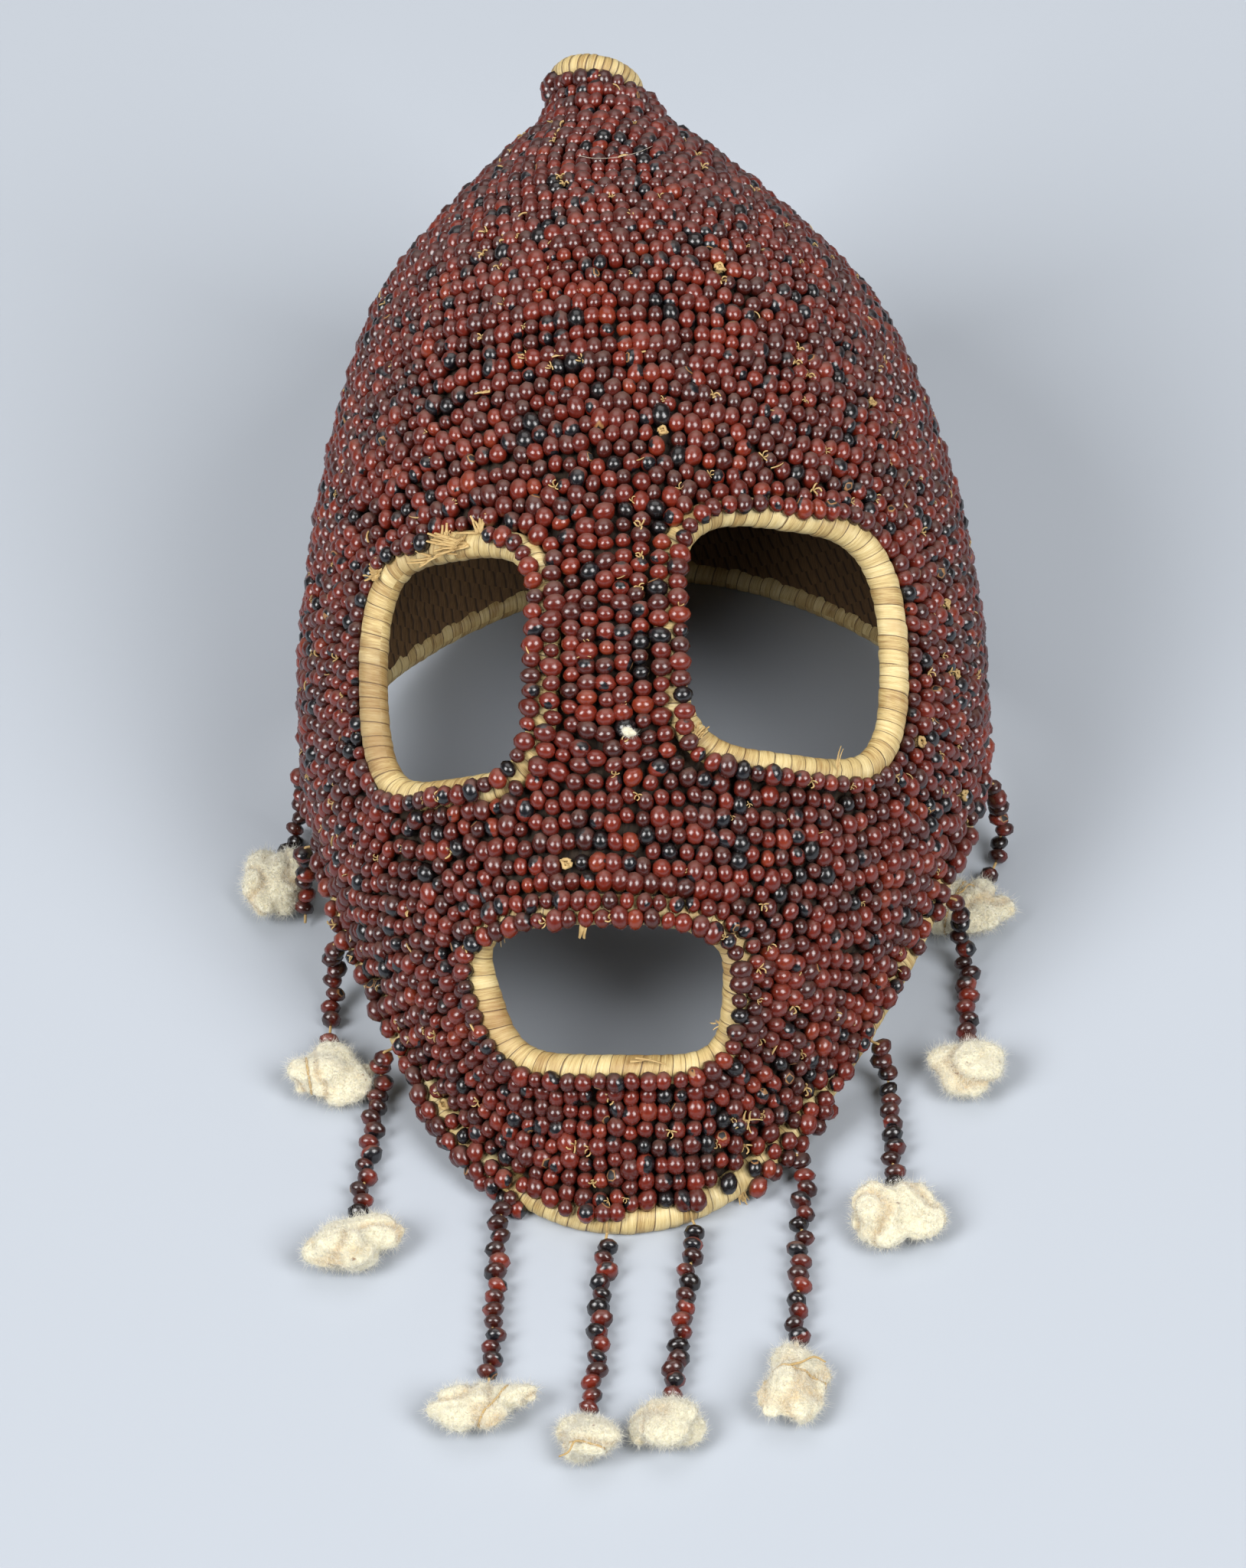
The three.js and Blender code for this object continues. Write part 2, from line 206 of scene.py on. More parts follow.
# A material whose shader's sockets a skin sets
def material(name, skin):
    made = bpy.data.materials.new(name)
    made.use_nodes = True
    made.node_tree.nodes.clear()
    tree = Tree(made.node_tree)
    surface = tree.node("ShaderNodeBsdfPrincipled", {}, skin(tree))
    tree.node("ShaderNodeOutputMaterial", {}, {"Surface": surface})
    return made


# The hood's form
hood = {
    "leanBack": 48,  # the face, from upright
    "chinDepth": 78,
    "axisLean": 12,
    "pivotHeight": 150,
    # radius and height along the long axis, from the chin's cut end to the crown
    "outline": [
        (40, -180), (62, -143), (81, -103), (97.5, -62), (110, -18), (114, 22), (110, 68),
        (100, 114), (85, 153), (63, 181), (39, 205), (24.5, 217), (17.5, 228),
    ],
    "backFlattening": 0.95,
    "crownShift": 15, "shiftFrom": -40, "shiftOver": 255, "shiftPower": 2.5,
    "crownCut": 0.8, "crownSlope": (0.25, -0.12),
    "muzzle": {"rise": 5, "height": 78, "halfWidth": 40, "halfHeight": 38},
    "noseBridge": {"rise": 3.5, "height": 185, "halfWidth": 17, "halfHeight": 50},
    "seedDepth": 4.7,  # from the outer form in to the coils' middle lines
}
edge = {"coilRadius": 4.7, "wornFlat": 1, "lift": 29, "archPower": 1.5}

leanSin, leanCos = math.sin(rad(hood["leanBack"])), math.cos(rad(hood["leanBack"]))
axisSin, axisCos = math.sin(rad(hood["axisLean"])), math.cos(rad(hood["axisLean"]))
originShift = np.zeros(3)


# From the face's frame, where the face is upright, to the frame it rests in
def leanDown(point):
    x, y, z = np.moveaxis(np.asarray(point, float), -1, 0)
    rested = [x, y * leanCos + z * leanSin, -y * leanSin + z * leanCos - hood["chinDepth"] * leanSin]
    return np.stack(rested, -1) + originShift


def turnDown(direction):
    x, y, z = direction
    return Vector((x, y * leanCos + z * leanSin, -y * leanSin + z * leanCos))


# A curve from one point to the next that leaves each one as its velocity says
def curveThrough(p1, p2, v1, v2, t):
    return (2 * p1 - 2 * p2 + v1 + v2) * t**3 + (3 * p2 - 3 * p1 - 2 * v1 - v2) * t**2 + v1 * t + p1


def outlineAt(place):
    stations = np.array(hood["outline"], float)
    last = len(stations) - 1
    along = np.clip(place, 0, 1) * last
    i = np.minimum(along.astype(int), last - 1)
    t = (along - i)[..., None]
    p0, p1, p2, p3 = (stations[np.clip(i + k, 0, last)] for k in (-1, 0, 1, 2))
    point = curveThrough(p1, p2, (p2 - p0) / 2, (p3 - p1) / 2, t)
    return point[..., 0], point[..., 1]


# A point of the hood at a turn round it and a place along its outline
def hoodPoint(turn, place):
    turn, place = np.broadcast_arrays(np.asarray(turn, float), np.asarray(place, float))
    radius, height = outlineAt(place)
    nearCrown = np.clip((place - hood["crownCut"]) / (1 - hood["crownCut"]), 0, 1)
    toFront, toRight = hood["crownSlope"]
    height = height + (np.cos(turn) * toFront + np.sin(turn) * toRight) * radius * nearCrown**2
    across = np.sin(turn) * radius
    back = -np.cos(turn) * radius
    front = back <= 0
    up = hood["pivotHeight"] + height * axisCos - back * axisSin
    swell = np.zeros_like(across)
    for form in (hood["muzzle"], hood["noseBridge"]):
        spread = (across / form["halfWidth"]) ** 2 + ((up - form["height"]) / form["halfHeight"]) ** 2
        swell += form["rise"] * np.exp(-spread)
    swell = np.where(front, 1 + swell / radius, 1)
    across = across * swell
    back = np.where(front, back * swell, back * hood["backFlattening"])
    shifted = np.clip((height - hood["shiftFrom"]) / hood["shiftOver"], 0, 1.1)
    across = across - hood["crownShift"] * shifted ** hood["shiftPower"]
    y = back * axisCos + height * axisSin
    z = hood["pivotHeight"] + height * axisCos - back * axisSin
    return leanDown(np.stack([across, y, z], -1))


def hoodTangents(turn, place):
    small = 1e-3
    round = (hoodPoint(turn + small, place) - hoodPoint(turn - small, place)) / (2 * small)
    high, low = np.minimum(place + small, 1), np.maximum(place - small, 0)
    along = (hoodPoint(turn, high) - hoodPoint(turn, low)) / (high - low)[..., None]
    return round, along


def unit(vectors):
    return vectors / np.maximum(np.linalg.norm(vectors, axis=-1, keepdims=True), 1e-9)


def hoodNormal(turn, place):
    return unit(np.cross(*hoodTangents(turn, place)))


def wallPoint(turn, place, depth):
    turn, place = np.broadcast_arrays(np.asarray(turn, float), np.asarray(place, float))
    return hoodPoint(turn, place) - hoodNormal(turn, place) * np.asarray(depth)[..., None]


# Where along the outline the wall comes down to the lower coil, at each turn
def coilPlaceOver(turn, lift):
    low, high = np.zeros_like(turn), np.full_like(turn, 0.7)
    for _ in range(40):
        middle = (low + high) / 2
        point = wallPoint(turn, middle, hood["seedDepth"])
        over = point[..., 2] > lift(point[..., 1]) + edge["coilRadius"] - edge["wornFlat"]
        low, high = np.where(over, low, middle), np.where(over, middle, high)
    return high


def restingEnds():
    ends = np.array([0, math.pi])
    return wallPoint(ends, coilPlaceOver(ends, lambda y: 0 * y), hood["seedDepth"])[:, 1]


chinRest, backRest = restingEnds()


def edgeHeight(y):
    along = np.clip((y - originShift[1] - chinRest) / (backRest - chinRest), 0, 1)
    return edge["lift"] * np.sin(math.pi * along) ** edge["archPower"]


def lowerCoilLine(steps=240):
    turn = np.arange(steps) / steps * 2 * math.pi
    return wallPoint(turn, coilPlaceOver(turn, edgeHeight), hood["seedDepth"])


coilBox = lowerCoilLine(46)
rimLow, rimHigh = (np.array(corner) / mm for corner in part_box("lower_rim"))
originShift = (rimLow + rimHigh) / 2 - (coilBox.min(0) + coilBox.max(0)) / 2
originShift[2] = 0
print("hood's form set, origin moved by", originShift.round(2))


def newObject(name, mesh):
    made = bpy.data.objects.new(name, mesh)
    bpy.context.scene.collection.objects.link(made)
    return made


# A mesh of points in millimetres, with attributes that are stored on them
def newMesh(name, points, edges=(), faces=(), attributes=None, smooth=True):
    mesh = bpy.data.meshes.new(name)
    mesh.from_pydata((np.asarray(points, float) * mm).tolist(), list(edges), list(faces))
    for key, values in (attributes or {}).items():
        values = np.asarray(values, float)
        flat = values.ndim == 1
        layer = mesh.attributes.new(key, "FLOAT" if flat else "FLOAT_VECTOR", "POINT")
        layer.data.foreach_set("value" if flat else "vector", values.ravel())
    if smooth and len(mesh.polygons):
        mesh.shade_smooth()
    mesh.update()
    return newObject(name, mesh)


# The modifiers' result as a plain mesh
def settle(piece):
    graph = bpy.context.evaluated_depsgraph_get()
    result = piece.evaluated_get(graph)
    mesh = bpy.data.meshes.new_from_object(result, preserve_all_data_layers=True, depsgraph=graph)
    piece.modifiers.clear()
    piece.data = mesh
    return piece


# Runs a Geometry Nodes tree over a piece, with values for its named inputs
def runTree(piece, group, inputs):
    modifier = piece.modifiers.new(group.name, "NODES")
    modifier.node_group = group
    for item in group.interface.items_tree:
        if item.item_type == "SOCKET" and item.in_out == "INPUT" and item.name in inputs:
            modifier[item.identifier] = inputs[item.name]
    return settle(piece)


# A Geometry Nodes tree with named inputs, and their values inside it
def newGroup(name, inputs):
    group = bpy.data.node_groups.new(name, "GeometryNodeTree")
    group.interface.new_socket("Geometry", in_out="INPUT", socket_type="NodeSocketGeometry")
    for key, (kind, value) in inputs.items():
        made = group.interface.new_socket(key, in_out="INPUT", socket_type="NodeSocket" + kind)
        if value is not None:
            made.default_value = value
    group.interface.new_socket("Geometry", in_out="OUTPUT", socket_type="NodeSocketGeometry")
    tree = Tree(group)
    entry = tree.node("NodeGroupInput")
    return tree, {key: entry.other(key) for key in ["Geometry", *inputs]}


# Ends a tree in real geometry of one material, and gives its group
def endGroup(tree, geometry, finish):
    real = tree.node("GeometryNodeRealizeInstances", {}, {"Geometry": geometry})
    dressed = tree.node("GeometryNodeSetMaterial", {}, {"Geometry": real, "Material": finish})
    tree.node("NodeGroupOutput", {}, {"Geometry": dressed})
    return tree.nodeTree


def joined(name, pieces):
    with bpy.context.temp_override(active_object=pieces[0], selected_editable_objects=pieces):
        bpy.ops.object.join()
    pieces[0].name = name
    return pieces[0]


# Camera, light and floor
view = {
    "swing": 5.5,  # degrees round to the mask's left cheek
    "place": (185.2, -1991.4, 142),  # in the face's frame
    "lens": 139.24,
    "sensor": 36,
}
studio = {
    "floorSize": 9,
    "floorColour": (170, 176, 184),
    "sky": (222, 222, 224),
    "skyStrength": 0.08,
    # name, place in metres, width, height, watts
    "lamps": [
        ("leftSoftbox", (-2.4, -1.8, 2.95), 2.0, 2.4, 180),
        ("rightSoftbox", (2.4, -1.7, 2.85), 2.0, 2.4, 164),
        ("overhead", (0, 1.0, 2.2), 2.4, 1.8, 22),
    ],
    "aim": (0, 0, 0.08),
}


def aimed(obj, place, forward, up):
    back = -Vector(forward).normalized()
    right = Vector(up).cross(back).normalized()
    turned = Matrix((right, back.cross(right), back)).transposed()
    obj.matrix_world = Matrix.Translation(place) @ turned.to_4x4()


def makeCamera():
    data = bpy.data.cameras.new("camera")
    data.sensor_fit = "VERTICAL"
    data.sensor_height = view["sensor"]
    data.lens = view["lens"]
    data.clip_start, data.clip_end = 0.05, 60
    camera = newObject("camera", data)
    swing = rad(view["swing"])
    forward = turnDown((-math.sin(swing), math.cos(swing), 0))
    aimed(camera, Vector(leanDown(view["place"])) * mm, forward, turnDown((0, 0, 1)))
    bpy.context.scene.camera = camera


def makeStudio():
    for name, place, width, height, watts in studio["lamps"]:
        data = bpy.data.lights.new(name, "AREA")
        data.shape = "RECTANGLE"
        data.size, data.size_y, data.energy = width, height, watts
        lamp = newObject(name, data)
        aimed(lamp, Vector(place), Vector(studio["aim"]) - Vector(place), (0, 0, 1))
    world = bpy.data.worlds.new("sky")
    world.use_nodes = True
    sky = world.node_tree.nodes["Background"]
    sky.inputs["Color"].default_value = paint(*studio["sky"])
    sky.inputs["Strength"].default_value = studio["skyStrength"]
    bpy.context.scene.world = world
    half = studio["floorSize"] / 2 / mm
    corners = [(-half, -half, 0), (half, -half, 0), (half, half, 0), (-half, half, 0)]
    floor = newMesh("floor", corners, faces=[(0, 1, 2, 3)], smooth=False)
    floor.data.materials.append(material("floorPaper", floorPaper))


def floorPaper(tree):
    grain = tree.noise(tree.objectPoint(), 900, 3)
    return {
        "Base Color": paint(*studio["floorColour"]),
        "Roughness": 0.85,
        "Normal": tree.bump(grain, 0.05, 0.0002),
    }


bpy.context.scene.view_settings.view_transform = "Standard"
makeCamera()
makeStudio()
print("camera and studio set")


# A first row's places are angles round the opening and how far out the seeds' middles are there,
# from the coil's middle line: near the nose and over the mouth they hide the coil
openings = {
    "leftEye": {
        "turn": -29, "place": 0.387, "halfTurn": 18, "halfPlace": 0.079,
        "squareness": 3.7, "slant": 1, "climb": 0,
        "firstRow": [
            (0, -2.4), (40, -0.8), (65, 0.9), (90, 0.6), (115, 1.4), (135, 3.2), (160, 6.6), (180, 7.6),
            (205, 6.8), (225, 4.2), (250, 1.8), (270, 0.4), (300, -1.2), (320, -1.6),
        ],
    },
    "rightEye": {
        "turn": 31, "place": 0.404, "halfTurn": 21.3, "halfPlace": 0.081,
        "squareness": 3.6, "slant": -1, "climb": 0,
        "firstRow": [
            (0, 7.5), (35, 7), (60, 3.8), (90, 0.6), (120, 0), (150, -1.2), (180, -2.2), (205, -0.5),
            (228, 3.6), (250, 2.6), (270, 2.4), (300, 3.2), (320, 5.4), (340, 7.2),
        ],
    },
    "mouth": {
        "turn": -1.2, "place": 0.186, "halfTurn": 29, "halfPlace": 0.0495,
        "squareness": 3.5, "slant": -2, "climb": 0,
        "firstRow": [
            (0, -1.6), (45, -1.6), (90, -2.4), (115, -2.6), (135, -2.2), (160, 0.5), (180, 2.8),
            (205, 3), (225, 2.6), (270, 1.9), (300, 1.2), (315, 0), (340, -1.3),
        ],
    },
}
# The outline that both eyes share, which the rows above, beside and below them follow
bothEyes = {
    "turn": 2.5, "place": 0.394, "halfTurn": 49, "halfPlace": 0.081,
    "squareness": 3.4, "slant": 1, "climb": 0.010,
    "firstRow": [
        (0, 13), (25, 12.6), (40, 9.5), (60, 6.4), (90, 6.2), (115, 6.4), (130, 7.6), (145, 9.8),
        (160, 12.4), (180, 13.3), (200, 12.5), (215, 10), (235, 7.3), (255, 6.2), (270, 6.4),
        (290, 8.1), (310, 8.5), (325, 10), (340, 12.5),
    ],
}


# Turn and place at angles round an opening's outline, moved outward
def openingAt(opening, angle, outward=0):
    power = 2 / opening["squareness"]
    side = np.sign(np.cos(angle)) * np.abs(np.cos(angle)) ** power
    rise = np.sign(np.sin(angle)) * np.abs(np.sin(angle)) ** power
    perTurn, perPlace = openingScale(opening)
    sideways = (rad(opening["halfTurn"]) + outward / perTurn) * side
    upward = (opening["halfPlace"] + outward / perPlace) * rise
    turn = rad(opening["turn"]) + sideways + rad(opening["slant"]) * rise
    return turn, opening["place"] + upward + opening["climb"] * side


# Millimetres in a unit of turn and of place, at an opening's middle
def openingScale(opening):
    round, along = hoodTangents(np.array(rad(opening["turn"])), np.array(opening["place"]))
    return np.linalg.norm(round), np.linalg.norm(along)


# How far outside an opening each turn and place is, in millimetres, and the angle round it
def outsideOf(opening, turn, place):
    perTurn, perPlace = openingScale(opening)
    halfTurn, halfPlace = rad(opening["halfTurn"]), opening["halfPlace"]
    away = (turn - rad(opening["turn"]) + math.pi) % (2 * math.pi) - math.pi
    v = place - opening["place"] - opening["climb"] * away / halfTurn
    u = away - rad(opening["slant"]) * v / halfPlace
    power = opening["squareness"]
    gauge = (np.abs(u / halfTurn) ** power + np.abs(v / halfPlace) ** power) ** (1 / power)
    reach = np.hypot(u * perTurn, v * perPlace)
    return reach * (1 - 1 / np.maximum(gauge, 1e-3)), np.arctan2(v / halfPlace, u / halfTurn)


# The middle line of the coil bound round an opening
def openingLine(opening, steps=180):
    return wallPoint(*openingAt(opening, np.arange(steps) / steps * 2 * math.pi), hood["seedDepth"])


def firstRowAt(opening, angle):
    angles, outward = zip(*opening["firstRow"])
    return np.interp(np.degrees(angle) % 360, angles, outward, period=360)


# The rows of strung seeds
strung = {
    "rowPitch": 5.45,
    "seedPitch": 5.05,
    "crowding": 0.86,  # how near seeds of other rows may come, in pitches
    "rowRoom": 0.93, "gapRoom": 0.83,  # the room that a new row and a single seed in a gap need
    "rimRoom": 0.4,  # of a seed beside an opening's first row
    "gapStep": 0.95,  # from a seed to where a gap is looked for
    "cell": 7,  # of the lookup of neighbours
    "rowTilt": 0.25,  # how far rows drop to the sides, as a slope
    "waver": 0.07,
    "pull": {"eye": (14, 34), "mouth": (12, 17)},  # how strongly rows follow it, and how far out
    "changeover": 6,  # from rows round each eye to rows round both
    "noseColumns": 3,  # on each side, besides those at the rims
    "nosePitch": 5.9, "pastEyes": 2,  # how far the nose's columns run on over the eyes' outline
    "eyeRows": 3, "mouthRows": 4,  # closed rows round both eyes, and round the mouth
    # how near seeds come to the lower coil's middle, by turn: beside the chin they hide it
    "edgeClear": [
        (-66, 3.4), (-58, 0.6), (-37, 0.6), (-31, 3.4), (38, 3.4), (44, 0.8), (58, 0.8), (64, 3.4),
    ],
    # rounds of easing seeds apart into the gaps, up to how many pitches, and how far each time
    "settling": 36, "easedTo": 1.16, "easing": 0.16,
    "neighbourly": 1.6,  # how far apart seeds that ease each other may start
    "jitter": 0.22, "formSeed": 100,
    "frontTo": 80, "faceTo": 0.45,  # the turn and the place that part the cover's pieces
    "crownRows": [0.99, 0.934],
    "sinking": 2.5,  # of a seed's middle under the hood's outer form
    "ground": 3.0,  # how low the middle of a seed may lie
    "coilReach": 6.4,  # from a coil's middle line to the middle of a seed that lies on it
    "seed": 11,
}


# The hood's points, slopes and row directions on a grid over turn and place, read by interpolation
class HoodGrid:
    turnSteps, placeSteps = 240, 200

    def __init__(self):
        turn = -math.pi + 2 * math.pi * np.arange(self.turnSteps + 1) / self.turnSteps
        place = np.arange(self.placeSteps + 1) / self.placeSteps
        self.turn, self.place = np.meshgrid(turn, place)
        point = hoodPoint(self.turn, self.place)
        round, along = hoodTangents(self.turn, self.place)
        normal = unit(np.cross(round, along))
        east = unit(round)
        north = np.cross(normal, east)
        self.perTurn = np.linalg.norm(round, axis=-1)
        self.skew = (along * east).sum(-1)
        self.perPlace = (along * north).sum(-1)
        direction = self.hoops() * self.waver(point)
        clear = np.full_like(self.turn, 1e3)
        around = outsideOf(bothEyes, self.turn, self.place)[0]
        outer = np.clip(around / strung["changeover"], 0, 1)
        direction = direction - outer * self.pull("eye", around) * self.slopeOf(around) ** 2
        for name, opening in openings.items():
            away, angle = outsideOf(opening, self.turn, self.place)
            kind, share = ("mouth", 1) if name == "mouth" else ("eye", 1 - outer)
            direction = direction - share * self.pull(kind, away) * self.slopeOf(away) ** 2
            clear = np.minimum(clear, away - firstRowAt(opening, angle))
        coil = lowerCoilLine()
        middle = point - normal * hood["seedDepth"]
        rim = np.min([np.linalg.norm(middle - spot, axis=-1) for spot in coil], axis=0)
        below = middle[..., 2] < edgeHeight(middle[..., 1])
        rim = np.where(below, 0, rim)
        layers = [point, normal, east, north, round, along]
        scalars = [direction.real, direction.imag, clear, rim]
        self.layers = np.concatenate([*layers, np.stack(scalars, -1)], -1)

    def pull(self, kind, away):
        strength, reach = strung["pull"][kind]
        return strength * np.exp(-(np.maximum(away, 0) / reach) ** 2)

    # Squares of directions, so that a row and its reverse count as one. East is 1 and north is i.
    def hoops(self):
        front = np.clip(1.3 - self.place * 1.25, 0, 1) * np.clip(self.place * 6 - 1.4, 0, 1)
        slope = -strung["rowTilt"] * np.sin(self.turn) * front
        row = (1 + 1j * slope) / np.hypot(1, slope)
        return row**2

    def waver(self, point):
        x, y, z = np.moveaxis(point, -1, 0)
        wave = np.sin(x / 17 + z / 23) + np.sin(y / 19 - z / 31 + 1.3) + 0.6 * np.sin(x / 9 - y / 11)
        return np.exp(2j * strung["waver"] * wave)

    # The direction in which a value over the grid grows
    def slopeOf(self, value):
        overPlace, overTurn = np.gradient(value, 1 / self.placeSteps, 2 * math.pi / self.turnSteps)
        east = overTurn / self.perTurn
        north = (overPlace - self.skew * east) / self.perPlace
        slope = east + 1j * north
        return slope / np.maximum(np.abs(slope), 1e-9)

    def read(self, turn, place):
        i = (turn + math.pi) / (2 * math.pi) % 1 * self.turnSteps
        j = min(max(place, 0), 0.99999) * self.placeSteps
        a, b = int(i), int(j)
        u, v = i - a, j - b
        low = self.layers[b, a] * (1 - u) + self.layers[b, a + 1] * u
        high = self.layers[b + 1, a] * (1 - u) + self.layers[b + 1, a + 1] * u
        return low * (1 - v) + high * v


# A spot for a seed: where it is, what it faces and which way its row runs
class Spot:
    def __init__(self, grid, turn, place):
        read = grid.read(turn, place)
        self.turn, self.place = turn, place
        self.point, self.normal, east, north, self.round, self.along = read[:18].reshape(6, 3)
        row = complex(read[18], read[19]) ** 0.5
        self.heading = unit(east * row.real + north * row.imag)
        self.clear, self.rim = read[20], read[21]
        self.held = False

    # The turn and place a step away, in a direction along the hood
    def stepped(self, direction):
        a, b, c = self.round @ self.round, self.round @ self.along, self.along @ self.along
        p, q = direction @ self.round, direction @ self.along
        det = a * c - b * b
        return self.turn + (p * c - q * b) / det, self.place + (q * a - p * b) / det

    def overEdge(self):
        turns, clear = zip(*strung["edgeClear"])
        return self.rim > np.interp(math.degrees(self.turn) % 360, turns, clear, period=360)

    def inside(self):
        clear = self.clear > strung["rimRoom"] * strung["rowPitch"]
        return clear and self.place < strung["crownRows"][0] and self.overEdge()


class Seeding:
    def __init__(self, grid):
        self.grid = grid
        self.cells = {}
        self.spots = []
        self.waiting = []

    def cellOf(self, point):
        return tuple(int(part // strung["cell"]) for part in point)

    # The seeds in a point's cell and those round it
    def around(self, point):
        x, y, z = self.cellOf(point)
        steps = (-1, 0, 1)
        keys = [(x + i, y + j, z + k) for i in steps for j in steps for k in steps]
        return [index for key in keys for index in self.cells.get(key, ())]

    # How near the closest seed is, in pitches, leaving one out
    def nearest(self, point, leftOut=-1):
        best = 9.0
        for index in self.around(point):
            if index == leftOut:
                continue
            spot = self.spots[index]
            away = point - spot.point
            along = away @ spot.heading
            across = away @ away - along * along
            best = min(best, along * along / strung["seedPitch"] ** 2 + across / strung["rowPitch"] ** 2)
        return math.sqrt(best)

    def add(self, spot):
        self.cells.setdefault(self.cellOf(spot.point), []).append(len(self.spots))
        self.spots.append(spot)
        self.waiting.append(spot)
        return len(self.spots) - 1

    # A row grown one way from a seed, until it meets others or the edge
    def growFrom(self, index, sense):
        spot = self.spots[index]
        heading = spot.heading * sense
        while True:
            middle = Spot(self.grid, *spot.stepped(heading * strung["seedPitch"] / 2))
            ahead = middle.heading if middle.heading @ heading > 0 else -middle.heading
            following = Spot(self.grid, *spot.stepped(ahead * strung["seedPitch"]))
            if not following.inside() or self.nearest(following.point, index) < strung["crowding"]:
                return
            heading = following.heading if following.heading @ ahead > 0 else -following.heading
            following.heading = heading * sense
            index, spot = self.add(following), following

    def growRow(self, spot):
        if not spot.inside() or self.nearest(spot.point) < strung["rowRoom"]:
            return
        index = self.add(spot)
        self.growFrom(index, 1)
        self.growFrom(index, -1)

    # Rows beside every seed so far, and beside those in turn
    def growAll(self):
        while self.waiting:
            spot = self.waiting.pop(0)
            across = np.cross(spot.normal, spot.heading) * strung["rowPitch"]
            for side in (1, -1):
                self.growRow(Spot(self.grid, *spot.stepped(across * side)))

    # A closed row round an opening
    def ring(self, opening, number, pitch=strung["rowPitch"], kept=lambda turn, place: True):
        angle = np.linspace(0, 2 * math.pi, 361)
        outward = firstRowAt(opening, angle) + number * pitch
        self.closedRow(*openingAt(opening, angle, outward), number % 2 / 2, kept)

    # A closed row along a line, or the part of it that is kept
    def closedRow(self, turn, place, shift=0, kept=lambda turn, place: True):
        point = hoodPoint(turn, place)
        length = np.concatenate([[0], np.cumsum(np.linalg.norm(np.diff(point, axis=0), axis=1))])
        count = round(length[-1] / strung["seedPitch"])
        for part in (np.arange(count) + shift) / count * length[-1]:
            spot = Spot(self.grid, np.interp(part, length, turn), np.interp(part, length, place))
            behind, ahead = (
                np.array([np.interp(at, length, axis) for axis in point.T])
                for at in (part - 1, part + 1))
            spot.heading = unit(ahead - behind)
            wanted = kept(spot.turn, spot.place) and spot.overEdge()
            if wanted and self.nearest(spot.point) > strung["crowding"]:
                self.add(spot)

    # Single seeds pushed into what gaps are left
    def fillGaps(self):
        for spot in list(self.spots):
            across = np.cross(spot.normal, spot.heading) * strung["rowPitch"]
            along = spot.heading * strung["seedPitch"]
            for offset in (across, -across, 0.9 * across + 0.5 * along, -0.9 * across - 0.5 * along):
                near = Spot(self.grid, *spot.stepped(offset * strung["gapStep"]))
                if near.inside() and self.nearest(near.point) > strung["gapRoom"]:
                    self.add(near)

    # Eases neighbours apart along the hood, so that what gaps are left are shared out
    def settle(self):
        turn, place, heading, start, fixed = (
            np.array([getattr(spot, name) for spot in self.spots])
            for name in ("turn", "place", "heading", "point", "held"))
        first, second = self.neighbours(start).T
        for _ in range(strung["settling"]):
            point = hoodPoint(turn, place)
            round, along = hoodTangents(turn, place)
            away = point[first] - point[second]
            inRow = (away * heading[first]).sum(-1)
            across = away - inRow[:, None] * heading[first]
            beside = (across**2).sum(-1) / strung["rowPitch"] ** 2
            apart = np.sqrt((inRow / strung["seedPitch"]) ** 2 + beside)
            wanting = np.clip(strung["easedTo"] - apart, 0, 1)[:, None]
            pushing = wanting * unit(away) * strung["rowPitch"] * strung["easing"]
            push = np.zeros_like(point)
            np.add.at(push, first, pushing)
            np.add.at(push, second, -pushing)
            push[fixed] = 0
            a, b, c = (round**2).sum(-1), (round * along).sum(-1), (along**2).sum(-1)
            p, q = (push * round).sum(-1), (push * along).sum(-1)
            turn = turn + (p * c - q * b) / (a * c - b * b)
            place = np.clip(place + (q * a - p * b) / (a * c - b * b), 0.01, 0.998)
        for i, spot in enumerate(self.spots):
            settled = Spot(self.grid, turn[i], place[i])
            if settled.inside() or spot.held:
                spot.turn, spot.place = turn[i], place[i]
                spot.point, spot.normal = settled.point, settled.normal
                if not spot.held:
                    spot.heading = settled.heading * (1 if settled.heading @ spot.heading >= 0 else -1)

    def neighbours(self, point):
        pairs = []
        for index, spot in enumerate(self.spots):
            pairs += [(index, other) for other in self.around(spot.point) if other > index]
        pairs = np.array(pairs)
        gap = np.linalg.norm(point[pairs[:, 0]] - point[pairs[:, 1]], axis=1)
        return pairs[gap < strung["neighbourly"] * strung["rowPitch"]]


def strungSpots():
    seeding = Seeding(HoodGrid())
    eyes = [openings["leftEye"], openings["rightEye"]]
    for opening in openings.values():
        seeding.ring(opening, 0)
    for number, place in enumerate(strung["crownRows"]):
        seeding.closedRow(np.linspace(-math.pi, math.pi, 361), np.full(361, place), number / 2)
    for spot in seeding.spots:
        spot.held = True

    def onNose(turn, place):
        return outsideOf(bothEyes, turn, place)[0] < strung["pastEyes"]

    for number in range(1, 1 + strung["noseColumns"]):
        for opening in eyes:
            seeding.ring(opening, number, strung["nosePitch"], onNose)
    for number in range(strung["eyeRows"]):
        seeding.ring(bothEyes, number)
    for number in range(1, strung["mouthRows"]):
        seeding.ring(openings["mouth"], number)
    rings = len(seeding.spots)
    seeding.growAll()
    rows = len(seeding.spots)
    seeding.fillGaps()
    print("seeds in rings, rows and gaps:", rings, rows - rings, len(seeding.spots) - rows)
    seeding.settle()
    return seeding.spots


